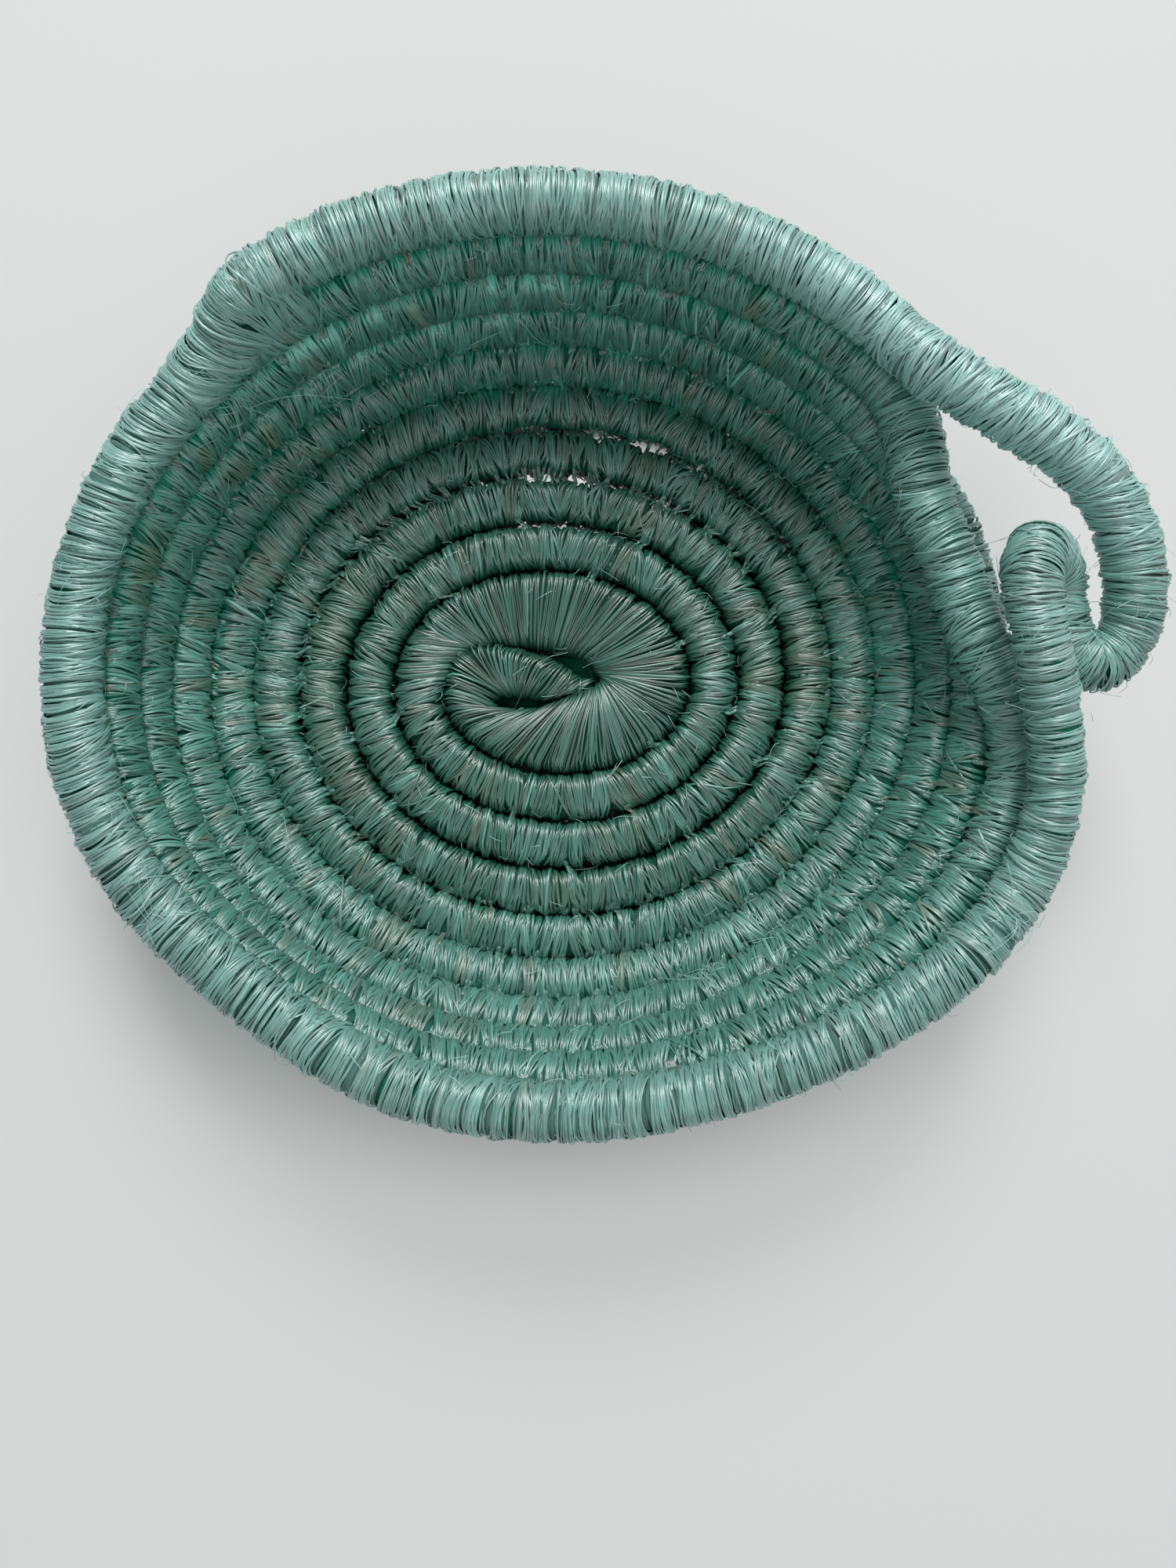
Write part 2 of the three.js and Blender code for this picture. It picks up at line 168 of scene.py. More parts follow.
# Where the handle passes close over the wall the strands of both lie deeper, as (turns, mm)
SNUG = [
    (8.905, 0), (8.92, 0.6), (8.97, 0.6), (8.985, 0),
    (9.93, 0), (9.94, 1.0), (9.965, 1.0), (9.98, 0),
]

# Mesh of a strand: its edges face outwards by a tilt, and each strand also tilts along itself
STRAND_SIDES = 4
STRAND_EDGE_TILT = np.radians(42)
STRAND_TILT = 0.05
STRAND_POINTS = 24
STRANDS_PER_PIECE = 900
UV_COLUMNS = 4
UV_FILL = (0.96, 0.8)
NOISE_SPREAD = 100


class Winding:
    """How strands are laid on a rope: sizes in mm, sway and stray in degrees.

    A bunch of strands is pinched at its inner and its outer side, and its crown is how far it bulges.
    Soak is the share of groove colour in all of a strand, and shade darkens it: on the inner layers both are
    painted shade.
    """

    def __init__(self, sway, stray, pinch=(0.05, 0.05), shade=1, soak=0, **sizes):
        self.sway = sway
        self.stray = stray
        self.pinch = pinch
        self.shade = shade
        self.soak = soak
        for name, size in sizes.items():
            setattr(self, name, np.array(size) * MM)


UNDER = Winding(step=0.9, width=(1.4, 2.2), thickness=0.6, bunch=(3, 7), crown=0, depth=1.5,
                sway=6, stray=3, shade=0.72, soak=0.65)
RIM_UNDER = Winding(step=0.5, width=(0.6, 1.3), thickness=0.5, bunch=(2, 5), crown=0.3, depth=1.7,
                    sway=9, stray=5, shade=0.62, soak=0.35)
FAN = Winding(step=0.5, width=(0.3, 0.8), thickness=0.4, bunch=(1.2, 3.0), crown=0.4, depth=0.9,
              pinch=(0.05, 0.4), sway=6, stray=3)
BASE = Winding(step=0.42, width=(0.42, 1.0), thickness=0.45, bunch=(2.2, 5.6), crown=0.5, depth=1.0,
               pinch=(0.4, 0.85), sway=15, stray=5)
WALL = Winding(step=0.44, width=(0.42, 1.0), thickness=0.45, bunch=(2.0, 5.6), crown=0.65, depth=1.1,
               pinch=(0.36, 0.3), sway=16, stray=6)
RIM = Winding(step=0.29, width=(0.32, 0.8), thickness=0.45, bunch=(1.8, 4.2), crown=1.0, depth=1.4,
              pinch=(0.15, 0.15), sway=12, stray=7)
LOOP = Winding(step=0.29, width=(0.32, 0.8), thickness=0.42, bunch=(2.4, 4.2), crown=0.95, depth=1.4,
               sway=9, stray=4)

# Up to which turn of the bowl each winding goes
RIM_TURN = 8.93
BOWL_WINDINGS = [(1.4, FAN), (4.6, BASE), (RIM_TURN, WALL), (LOWER_ROOT_TURN, RIM)]

# How wound strands stray along the rope: leans in degrees, angles round the rope in radians
STEP_JITTER = 0.4
SPARE_BUNCHES = 9
WAVE_SHARES = (1, 0.53, 0.31)
WAVE_HEIGHT = 1.3
LEAN_WAVE = 7
LEAN_PERIOD = 41 * MM
CROSSING_SHARE = 0.06
CROSSING_LEAN = 14
CROSSING_LIFT = 0.25 * MM
MOST_LEAN = 44
START_JITTER = 0.25
OVERLAP = 0.35
SIDE_RANGE = (0.3, 1)
DRIFT = 0.3 * MM
LEAST_PINCH = 0.4
BUNCH_SPREAD = 0.06
INNER_SHIFT = 0.6 * MM
CURL = 0.45 * MM
CURL_RATES = (6, 20)

# How wound strands rise and roll: rates of waves in radians over a strand's length
CROWN_SHARES = (0.5, 1.1)
BUNCH_LIFT = 0.4 * MM
STRAND_LIFT = 0.45 * MM
EDGE_DEPTHS = (-0.15 * MM, 0.5 * MM)
RIPPLE_RATES = (15, 38)
RIPPLE_DEPTHS = (0.03 * MM, 0.14 * MM)
TWIST_RATES = (4, 16)
MOST_TWIST = 0.3
BUNCH_ROLL = 0.3
STRAND_ROLL = 0.2

# Tapered ends of strands: share of the length, depth, and shares of width and thickness
TAPER = 0.07
TAPER_DIP = 0.8 * MM
TAPER_WIDTH = 0.35
TAPER_THICKNESS = 0.4

# Stitches over the groove between two turns, as (degrees round the rope, depth in mm, share of the slant)
STITCH_STRANDS = 5
STITCH_OUTER_ROUTE = [(78, 1.4, 0), (104, 0.3, 0.1), (130, 0.0, 0.3), (150, 0.1, 0.5)]
STITCH_INNER_ROUTE = [(30, 0.15, 0.7), (44, 0.3, 0.9), (60, 1.5, 1)]
STITCH_POINTS_PER_SPAN = 3
STITCH_SHIFT = 1.5 * MM
STITCH_INNER_SHIFT = 0.6
STITCH_SLANT = 2.2 * MM
STITCH_STRAY = 0.5 * MM
STITCH_ANGLE_STRAY = 0.08
STITCH_TAPER = 0.15
STITCH_TAPER_WIDTH = 0.3
STITCH_WIDTHS = (0.5 * MM, 1.0 * MM)
STITCH_THICKNESS = 0.45 * MM
STITCH_SHADE = 0.85

# Where stitches lie: from and to which turn of the bowl and how far apart, then those of the tail, in turns
BOWL_STITCHES = [(1.9, 4.1, 45 * MM), (4.1, 9.9, 4.6 * MM)]
STITCH_JITTER = 0.3
TAIL_STITCH_START = 0.01
TAIL_STITCH_STEP = 0.0075

# Loose hairs: the route of a hair as (share of its length, share of its rise), then sizes and numbers
HAIR_ROUTE = [(0.3, 0.8), (0.65, 1.0), (1.0, 0.85)]
HAIR_POINTS_PER_SPAN = 2
HAIR_WIDTH = 0.14 * MM
HAIR_DEPTH = 0.8 * MM
HAIR_ROOT = 0.4 * MM
HAIR_LEAST_RISE = 0.7 * MM
HAIR_RISES = (0.3 * MM, 1.5 * MM)
HAIR_BEND = 0.3
HAIR_SHAPE = 3
HAIR_SIZE = 1.4 * MM
BOWL_HAIRS = 1500
HANDLE_HAIRS = 130

# Frayed places: turns, between which degrees round the rope, and number of hairs
TUFTS = [
    (6.82, 50, 130, 26),
    (6.86, 50, 130, 18),
    (7.35, 50, 130, 14),
    (9.915, -40, 60, 16),
    (5.62, 40, 120, 14),
    (8.38, 40, 120, 16),
    (9.6, -20, 60, 14),
]
TUFT_REACH = 3 * MM
TUFT_HAIR_SIZE = 2.4 * MM

# Core of the rope, and the low dome under the first turns with its rings as (share of size, height in mm)
BED_SIDES = 14
BOWL_BED_RINGS = 1200
TAIL_BED_RINGS = 60
LOOP_BED_RINGS = 200
DOME_SIDES = 24
DOME_LENGTH = 21 * MM
DOME_WIDTH = 10 * MM
DOME_RINGS = [(1, 0.3), (1, 1.0), (0.85, 2.4), (0.5, 3.2), (0.05, 3.5)]

# Lengths of rope and of handle over which a root of the handle bends
ROOT_ROPE = 12 * MM
ROOT_LOOP = 14 * MM

# Binding of the rope's end to the turn below it, in turns
END_BINDING = (10.335, 10.39)
END_HEIGHT = 8.3 * MM
END_RINGS = 60


# Numbers and vectors

def smoothstep(x, low, high):
    t = np.clip((x - low) / (high - low), 0, 1)
    return t * t * (3 - 2 * t)


def window(x, rise, fall):
    """Smooth step up over the range `rise` and down again over the range `fall`."""
    return smoothstep(x, *rise) * (1 - smoothstep(x, *fall))


def mix(first, second, share):
    return first + (second - first) * share


def by_turns(rows, turns):
    """Value at each of the given turns, from rows of (turns, value)."""
    return np.interp(turns, *np.array(rows).T)


def unit(v):
    return v / np.linalg.norm(v, axis=-1, keepdims=True)


def dot(a, b):
    return np.sum(a * b, axis=-1, keepdims=True)


def turned(vectors, axis, angle):
    """Vectors turned about unit axes, by the right-hand rule."""
    c = np.cos(angle)[..., None]
    s = np.sin(angle)[..., None]
    return vectors * c + np.cross(axis, vectors) * s + axis * dot(axis, vectors) * (1 - c)


def linear(red, green, blue):
    """Linear colour of an sRGB colour given from 0 to 255."""
    c = np.array([red, green, blue]) / 255
    return np.where(c <= 0.04045, c / 12.92, ((c + 0.055) / 1.055) ** 2.4)


# Course of the rope

def bearing_gap(a, b):
    return (a - b + 180) % 360 - 180


def wall_angle(bearing):
    angle = WALL_ANGLE
    for (size, at, spread), sign in ((FLARE, -1), (STEEP, 1)):
        angle = angle + sign * size * np.exp(-((bearing_gap(bearing, at) / spread) ** 2))
    return np.radians(angle)


def surface_point(turns, bearing):
    along = CENTRE_RADIUS + PITCH * turns
    wall = wall_angle(np.degrees(bearing))
    bent = np.clip((along - BASE_RADIUS) / BEND_RADIUS, 0, wall)
    straight = np.maximum(along - BASE_RADIUS - BEND_RADIUS * wall, 0)
    radius = np.minimum(along, BASE_RADIUS) + BEND_RADIUS * np.sin(bent) + straight * np.cos(wall)
    rise = BEND_RADIUS * (1 - np.cos(bent)) + straight * np.sin(wall)
    return np.stack([(radius + ELONGATION) * np.cos(bearing), radius * np.sin(bearing),
                     ROPE_HEIGHT / 2 + rise], axis=-1)


def pushed_in(turns, bearing):
    share = window(bearing_gap(np.degrees(bearing), 0), PUSHED_FROM, PUSHED_TO)
    return np.where((turns >= PUSHED_TURNS[0]) & (turns <= PUSHED_TURNS[1]), share, 0)


def centreline(turns, bearing=None):
    bearing = turns * TURN if bearing is None else bearing
    point = surface_point(turns, bearing)
    below = surface_point(turns - 1, bearing)
    tangent = np.stack([-np.sin(bearing), np.cos(bearing), 0 * bearing], axis=-1)
    lean = -np.radians(PUSHED_LEAN) * pushed_in(turns, bearing)
    point = below + turned(point - below, tangent, lean)
    tuck = START_TUCK * (1 - smoothstep(turns, START_TURN, START_TUCK_END))
    return point * np.stack([1 + 0 * tuck, 1 - tuck, 1 + 0 * tuck], axis=-1)


def outer_direction(turns):
    """Direction from the rope towards its next turn, at the same bearing."""
    bearing = turns * TURN
    return unit(centreline(turns + TURN_STEP, bearing) - centreline(turns - TURN_STEP, bearing))


class Course:
    """A stretch of rope, looked up by the length along it."""

    def __init__(self, at, across, half_width, half_height, turns, pull=None):
        self.at = at
        self.length = np.concatenate([[0], np.cumsum(np.linalg.norm(np.diff(at, axis=0), axis=1))])
        self.along = unit(np.gradient(at, axis=0))
        self.across = unit(across - self.along * dot(across, self.along))
        self.out = np.cross(self.across, self.along)
        self.half_width = half_width + 0 * self.length
        self.half_height = half_height + 0 * self.length
        self.turns = turns
        self.squareness = by_turns(SQUARENESS, turns)
        self.pull = np.zeros_like(at) if pull is None else pull

    def look(self, values, s):
        if values.ndim == 1:
            return np.interp(s, self.length, values)
        return np.stack([np.interp(s, self.length, v) for v in values.T], axis=-1)

    def skin(self, s, phi, inset):
        """Points and outward normals on the rope's skin, `inset` under the outside of its strands.

        Angle phi goes from the outer side of the turn over the inside face of the bowl.
        """
        a = self.look(self.half_width, s) - inset
        b = self.look(self.half_height, s) - inset
        across = self.look(self.across, s)
        out = self.look(self.out, s)
        cos, sin = np.cos(phi), np.sin(phi)
        bulge = 2 / self.look(self.squareness, s)
        x, y = (a * np.sign(v) * np.abs(v) ** bulge for v in (cos, sin))
        point = self.look(self.at, s) + across * x[..., None] + out * (y * b / a)[..., None]
        inwards = smoothstep(-cos, *INNER_EDGE_SIDE)[..., None]
        point = point + self.look(self.pull, s) * inwards
        x, y = (np.sign(v) * np.abs(v) ** (2 - bulge) for v in (cos, sin))
        normal = unit(across * (b * x)[..., None] + out * (a * y)[..., None])
        return point, normal

    def place_of(self, turns):
        return np.interp(turns, self.turns, self.length)


def leak_depth(turns, later):
    """How far a turn draws back to let light through: from the next, or with `later` 1 from the last."""
    depth = 0 * turns
    for at, length, most in LEAKS:
        half = length / 2 * MM / (TURN * (CENTRE_RADIUS + PITCH * at))
        off = np.abs(turns - at - later)
        depth = np.maximum(depth, most * MM * (1 - smoothstep(off, *np.multiply(half, LEAK_FADE))))
    return depth


def spiral_course(start, end):
    turns = np.linspace(start, end, int((end - start) * RINGS_PER_TURN) + 2)
    across = outer_direction(turns)
    tip = smoothstep(turns, *TIP_TURNS)
    size = mix(TIP_SIZE, 1, tip) - (1 - TAIL_SIZE) * smoothstep(turns, *TAIL_TURNS)
    drop = TIP_DROP * (1 - tip)
    at = centreline(turns)
    at = at - np.outer(drop, [0, 0, 1]) - across * (HALF_WIDTH * (1 - size) * (turns > 1))[:, None]
    known, x, y = np.array(INNER_EDGE).T
    target = np.stack([np.interp(turns, known, x) * MM, np.interp(turns, known, y) * MM,
                       np.full_like(turns, INNER_EDGE_HEIGHT)], axis=1)
    share = window(turns, INNER_EDGE_FROM, INNER_EDGE_TO)
    pull = (target - at + across * (HALF_WIDTH * size)[:, None]) * share[:, None]
    slim = 1 - BASE_SLIMMING * (1 - smoothstep(turns, *BASE_SLIM_TURNS))
    outer = leak_depth(turns, 0)
    inner = leak_depth(turns, 1)
    at = at + across * ((inner - outer) / 2)[:, None]
    half_width = HALF_WIDTH * size * slim - (outer + inner) / 2
    return Course(at, across, half_width, HALF_HEIGHT * size, turns, pull)


def catmull_rom(knots, per_span):
    """Centripetal curve through knots, without its first and last span."""
    points = []
    for p0, p1, p2, p3 in zip(knots, knots[1:], knots[2:], knots[3:]):
        d0, d1, d2 = (np.sqrt(np.linalg.norm(b - a)) for a, b in ((p0, p1), (p1, p2), (p2, p3)))
        t1 = ((p1 - p0) / d0 - (p2 - p0) / (d0 + d1) + (p2 - p1) / d1) * d1
        t2 = ((p2 - p1) / d1 - (p3 - p1) / (d1 + d2) + (p3 - p2) / d2) * d1
        for u in np.arange(per_span) / per_span:
            points.append(p1 + t1 * u + (-3 * p1 + 3 * p2 - 2 * t1 - t2) * u ** 2
                          + (2 * p1 - 2 * p2 + t1 + t2) * u ** 3)
    return np.array(points + [knots[-2]])


def handle_course():
    first, last = np.array(LOWER_ROOT_TURN), np.array(UPPER_ROOT_TURN)
    roots = [centreline(first), centreline(last)]
    chord = roots[1] - roots[0]
    axis = unit(chord)
    outwards = unit(np.cross(axis, [0, 0, 1]))
    upwards = np.cross(outwards, axis)
    knots = [roots[0] + chord * share + outwards * out * MM + upwards * up * MM
             for share, out, up in HANDLE_ROUTE]
    speed = np.linalg.norm(centreline(first + TURN_STEP) - roots[0]) / TURN_STEP
    lead = ROPE_HEIGHT / speed
    ends = [centreline(first - lead), centreline(last + lead)]
    at = catmull_rom([ends[0], roots[0], *knots, roots[1], ends[1]], HANDLE_RINGS_PER_SPAN)
    across = outer_direction(first)
    carried = []
    for direction in unit(np.gradient(at, axis=0)):
        across = unit(across - direction * np.dot(across, direction))
        carried.append(across)
    share = np.linspace(0, 1, len(at))
    middle = window(share, (0, HANDLE_END_SHARE), (1 - HANDLE_END_SHARE, 1))
    width = mix(HALF_WIDTH, HALF_HANDLE, middle)
    height = mix(HALF_HEIGHT, HALF_HANDLE, middle)
    return Course(at, np.array(carried), width, height, mix(LOWER_ROOT_TURN, UPPER_ROOT_TURN, share))


# Mesh making

def new_piece(name, points, faces, material, tint=None, fibre=None, uv=None, facing=None):
    """Mesh object from arrays: `faces` holds index arrays, one per number of corners."""
    mesh = bpy.data.meshes.new(name)
    mesh.vertices.add(len(points))
    mesh.vertices.foreach_set("co", points.astype(np.float32).ravel())
    corners = np.concatenate([f.ravel() for f in faces])
    counts = np.concatenate([np.full(len(f), f.shape[1]) for f in faces])
    mesh.loops.add(len(corners))
    mesh.loops.foreach_set("vertex_index", corners.astype(np.int32))
    mesh.polygons.add(len(counts))
    mesh.polygons.foreach_set("loop_start", (np.cumsum(counts) - counts).astype(np.int32))
    mesh.polygons.foreach_set("use_smooth", np.ones(len(counts), bool))
    if tint is not None:
        layer = mesh.color_attributes.new("tint", "FLOAT_COLOR", "POINT")
        opaque = np.column_stack([tint, np.ones(len(tint))])
        layer.data.foreach_set("color", opaque.astype(np.float32).ravel())
    if fibre is not None:
        layer = mesh.attributes.new("fibre", "FLOAT_VECTOR", "POINT")
        layer.data.foreach_set("vector", fibre.astype(np.float32).ravel())
    if uv is not None:
        layer = mesh.uv_layers.new(name="OFBake")
        layer.uv.foreach_set("vector", uv.astype(np.float32).ravel())
    mesh.update(calc_edges=True)
    mesh.validate()
    if facing is not None:
        mesh.normals_split_custom_set_from_vertices(facing)
    mesh.materials.append(material)
    piece = bpy.data.objects.new(name, mesh)
    bpy.context.scene.collection.objects.link(piece)
    return piece


def tube_faces(count, points, sides):
    """Side quads and end caps of `count` tubes of `points` rings each."""
    tube, ring, side = np.indices((count, points - 1, sides))
    base = (tube * points + ring) * sides
    after = (side + 1) % sides
    quads = np.stack([base + side, base + sides + side, base + sides + after, base + after], axis=-1)
    first = np.arange(count)[:, None] * points * sides
    caps = first + np.arange(sides)
    ends = first + (points - 1) * sides + np.arange(sides)[::-1]
    return quads.reshape(-1, 4), np.concatenate([caps, ends])


def strand_uv(count, points, sides):
    """Each strand has a strip of the map of its own, which all its sides share."""
    rows = -(-count // UV_COLUMNS)
    strand = np.arange(count)
    left = (strand // rows) / UV_COLUMNS
    low = (strand % rows) / rows
    ring = np.arange(points - 1) / (points - 1)
    width = UV_FILL[0] / UV_COLUMNS
    height = UV_FILL[1] / rows
    u0 = left[:, None] + width * ring[None]
    u1 = u0 + width / (points - 1)
    v0 = np.repeat(low[:, None], points - 1, axis=1)
    v1 = v0 + height
    quad = np.stack([np.stack(c, -1) for c in ((u0, v0), (u1, v0), (u1, v1), (u0, v1))], axis=2)
    quads = np.repeat(quad[:, :, None], sides, axis=2).reshape(-1, 2)
    turn = TURN * np.arange(sides) / sides
    round_cap = np.stack([np.cos(turn), np.sin(turn)], -1) * [width / points / 3, height / 3]
    starts = np.stack([left + width / points / 2, low + height / 2], -1)
    ends = starts + [width - width / points, 0]
    caps = np.concatenate([starts, ends])[:, None] + round_cap
    return np.concatenate([quads, caps.reshape(-1, 2)])


def strand_mesh(name, paths, normals, widths, thicknesses, tints, material):
    """One piece of many strands. paths and normals: (strands, points, 3); widths: (strands, points)."""
    count, points = paths.shape[:2]
    sides = STRAND_SIDES
    along = unit(np.gradient(paths, axis=1))
    normals = unit(normals - along * dot(normals, along))
    beside = np.cross(along, normals)
    angle = np.pi / 2 + TURN * np.arange(sides) / sides
    cos, sin = np.cos(angle), np.sin(angle)
    verts = (paths[:, :, None]
             + beside[:, :, None] * (widths[..., None] / 2 * cos)[..., None]
             + normals[:, :, None] * (thicknesses[..., None] / 2 * sin)[..., None])
    verts[..., 2] = np.maximum(verts[..., 2], FLOOR_GAP)
    upright = np.where(np.abs(sin) < np.abs(cos), np.cos(STRAND_EDGE_TILT), sin)
    sideways = cos * np.sin(STRAND_EDGE_TILT)
    facing = normals[:, :, None] * upright[:, None] + beside[:, :, None] * sideways[:, None]
    tilt = np.random.default_rng(SEED).normal(0, STRAND_TILT, count)
    facing = unit(facing + along[:, :, None] * tilt[:, None, None, None])
    steps = np.linalg.norm(np.diff(paths, axis=1), axis=-1)
    run = np.concatenate([np.zeros((count, 1)), np.cumsum(steps, axis=1)], axis=1)
    fibre = np.zeros((count, points, sides, 3))
    fibre[..., 0] = (widths / MM)[..., None] * cos
    fibre[..., 1] = (run / MM)[..., None]
    fibre[..., 2] = np.random.default_rng(SEED).uniform(0, NOISE_SPREAD, count)[:, None, None]
    tint = np.repeat(tints[:, :, None], sides, axis=2)
    return new_piece(name, verts.reshape(-1, 3), tube_faces(count, points, sides), material,
                     tint.reshape(-1, 3), fibre.reshape(-1, 3), strand_uv(count, points, sides),
                     facing.reshape(-1, 3))


# Materials

# Filaments of a strand: stretch of their noise across, along and between strands, its range and its shades
FILAMENT_STRETCH = (3.2, 0.12, 1.0)
FILAMENT_DETAIL = 2.0
FILAMENT_RANGE = (0.35, 0.65)
FILAMENT_SHADES = (0.8, 1.1)
FILAMENT_BUMP = 0.2
FILAMENT_HEIGHT = 0.2 * MM
FIBRE_IOR = 1.88

# Deep teal of the fibres that lie under the outer strands: painted shade where they show between them
BED_GRAIN = 900
BED_COLOURS = (linear(3, 84, 61), linear(12, 150, 114))
BED_ROUGHNESS = 0.85


def material_nodes(name):
    material = bpy.data.materials.new(name)
    material.use_nodes = True
    tree = material.node_tree
    return material, tree.nodes, tree.links, tree.nodes["Principled BSDF"]


def add_node(nodes, kind, inputs=None, **values):
    made = nodes.new(kind)
    for key, value in values.items():
        setattr(made, key, value)
    for key, value in (inputs or {}).items():
        made.inputs[key].default_value = value
    return made


def map_range(nodes, from_range, to_range, **values):
    names = ("From Min", "From Max", "To Min", "To Max")
    limits = dict(zip(names, (*from_range, *to_range)))
    return add_node(nodes, "ShaderNodeMapRange", limits, **values)


def fibre_material(name, roughness, shine):
    """Silky strands: each has its own tint, fine filaments along it and darker hollows between them."""
    material, nodes, links, shader = material_nodes(name)
    tint = add_node(nodes, "ShaderNodeAttribute", attribute_name="tint")
    fibre = add_node(nodes, "ShaderNodeAttribute", attribute_name="fibre")
    stretch = add_node(nodes, "ShaderNodeVectorMath", {1: FILAMENT_STRETCH}, operation="MULTIPLY")
    links.new(fibre.outputs["Vector"], stretch.inputs[0])
    filaments = add_node(nodes, "ShaderNodeTexNoise", {"Scale": 1.0, "Detail": FILAMENT_DETAIL})
    links.new(stretch.outputs[0], filaments.inputs["Vector"])
    shade = map_range(nodes, FILAMENT_RANGE, FILAMENT_SHADES)
    links.new(filaments.outputs[0], shade.inputs["Value"])
    mixed = add_node(nodes, "ShaderNodeVectorMath", operation="SCALE")
    links.new(tint.outputs["Color"], mixed.inputs[0])
    links.new(shade.outputs[0], mixed.inputs["Scale"])
    links.new(mixed.outputs[0], shader.inputs["Base Color"])
    bump = add_node(nodes, "ShaderNodeBump", {"Strength": FILAMENT_BUMP, "Distance": FILAMENT_HEIGHT})
    links.new(filaments.outputs[0], bump.inputs["Height"])
    links.new(bump.outputs[0], shader.inputs["Normal"])
    shader.inputs["Roughness"].default_value = roughness
    shader.inputs["IOR"].default_value = FIBRE_IOR
    shader.inputs["Specular IOR Level"].default_value = shine
    return material


def bed_material():
    material, nodes, links, shader = material_nodes("fibre_bed")
    place = add_node(nodes, "ShaderNodeTexCoord")
    noise = add_node(nodes, "ShaderNodeTexNoise", {"Scale": BED_GRAIN})
    links.new(place.outputs["Object"], noise.inputs["Vector"])
    ramp = add_node(nodes, "ShaderNodeValToRGB")
    for element, colour in zip(ramp.color_ramp.elements, BED_COLOURS):
        element.color = (*colour, 1)
    links.new(noise.outputs[0], ramp.inputs[0])
    links.new(ramp.outputs[0], shader.inputs["Base Color"])
    shader.inputs["Roughness"].default_value = BED_ROUGHNESS
    return material


FIBRE = fibre_material("mint_fibre", roughness=0.43, shine=1.0)
INNER_FIBRE = fibre_material("inner_fibre", roughness=0.7, shine=0.15)
BED = bed_material()


# Colours of strands

# Colours of bunches with how common each is, and of odd strands
BUNCH_COLOURS = [
    (0.52, linear(80, 152, 134)),
    (0.24, linear(104, 173, 158)),
    (0.18, linear(60, 143, 123)),
    (0.06, linear(114, 145, 127)),
]
ODD_COLOURS = np.array([linear(140, 202, 188), linear(46, 133, 111), linear(110, 142, 122)])
ODD_CHANCE = 0.1
STRAND_CONTRAST = 0.22
STRAND_CONTRAST_LIMITS = (0.5, 1.5)
PALE_COLOUR = linear(190, 237, 232)

# Browned bunches: how strong and how likely they are, and stretches of rope, in turns, where they are common
DUSTY_COLOUR = linear(118, 130, 104)
DUSTY_SHARES = (0.2, 0.7)
DUSTY_CHANCE = 0.04
BROWNED_CHANCE = 0.75
BROWNED = [
    (3.44, 3.6), (3.98, 4.06), (4.915, 4.935), (6.36, 6.39),
    (5.43, 5.46), (8.44, 8.47), (7.68, 7.72),
]

# Painted light on the wall on the -Y side, whose inner face looks towards the lamp: turns and sines of the
# bearing where it sets in, and how much
PAINTED_LIGHT_TURNS = (4.8, 6.2)
PAINTED_LIGHT_SIDE = (0, 0.8)
PAINTED_LIGHT = 0.14

# Painted shade at the foot of the wall on the +Y side, whose inner face looks away from the lamp: turns,
# sines of the bearing, and how much
PAINTED_SHADE_FROM = (3.9, 4.6)
PAINTED_SHADE_TO = (5.8, 7.2)
PAINTED_SHADE_SIDE = (0.2, 0.9)
PAINTED_SHADE = np.array([0.22, 0.6, 0.54])

# Painted shade deep in the grooves, between bunches and on the outside, and painted light through the upper
# wall (lit) and at glowing places: colours, with the turns and the sines of the bearing where they change
BETWEEN_BUNCHES = linear(6, 90, 74)
BASE_GROOVE = linear(5, 124, 100)
WALL_GROOVE = linear(10, 140, 117)
WALL_GROOVE_TURNS = (4, 5.5)
LIT_GROOVE = linear(16, 204, 172)
LIT_TURNS = (4.3, 6)
LIT_SIDE = (-0.9, 0.6)
OUTSIDE_GROOVE = linear(26, 100, 84)
GLOWING_GROOVE = linear(150, 255, 234)

# Places where light shines into a groove of the wall, on the outer side of a turn and the inner side of
# the next: the first one's turns, and half the length in turns
GLOWS = [
    (8.252, 0.012), (8.268, 0.006), (8.34, 0.01), (8.352, 0.005), (8.318, 0.005),
    (7.295, 0.006), (7.27, 0.008), (7.33, 0.006),
    (6.222, 0.008), (6.255, 0.012), (6.29, 0.005),
    (5.19, 0.008), (5.22, 0.01), (5.252, 0.012), (5.285, 0.01), (5.31, 0.006),
]
GLOW_CORE = 0.6

# How the painted groove shade and glow set in round the rope, from 0 at its faces to 1 at its sides; where
# the rope lies open, inner fibres take less groove colour and a painted shade instead
INSIDE_FACE = (-0.3, 0.3)
GROOVE_SIDE = (0.3, 0.8)
GLOW_SIDE = (0.5, 0.72)
DEEP_FROM = 0.55
DEEP_FROM_LIT = 0.3
DEEP_TO_LIT = 0.2
DEEPEST = 0.8
OPEN_SOAK = 0.45
OPEN_SHADE = 0.15


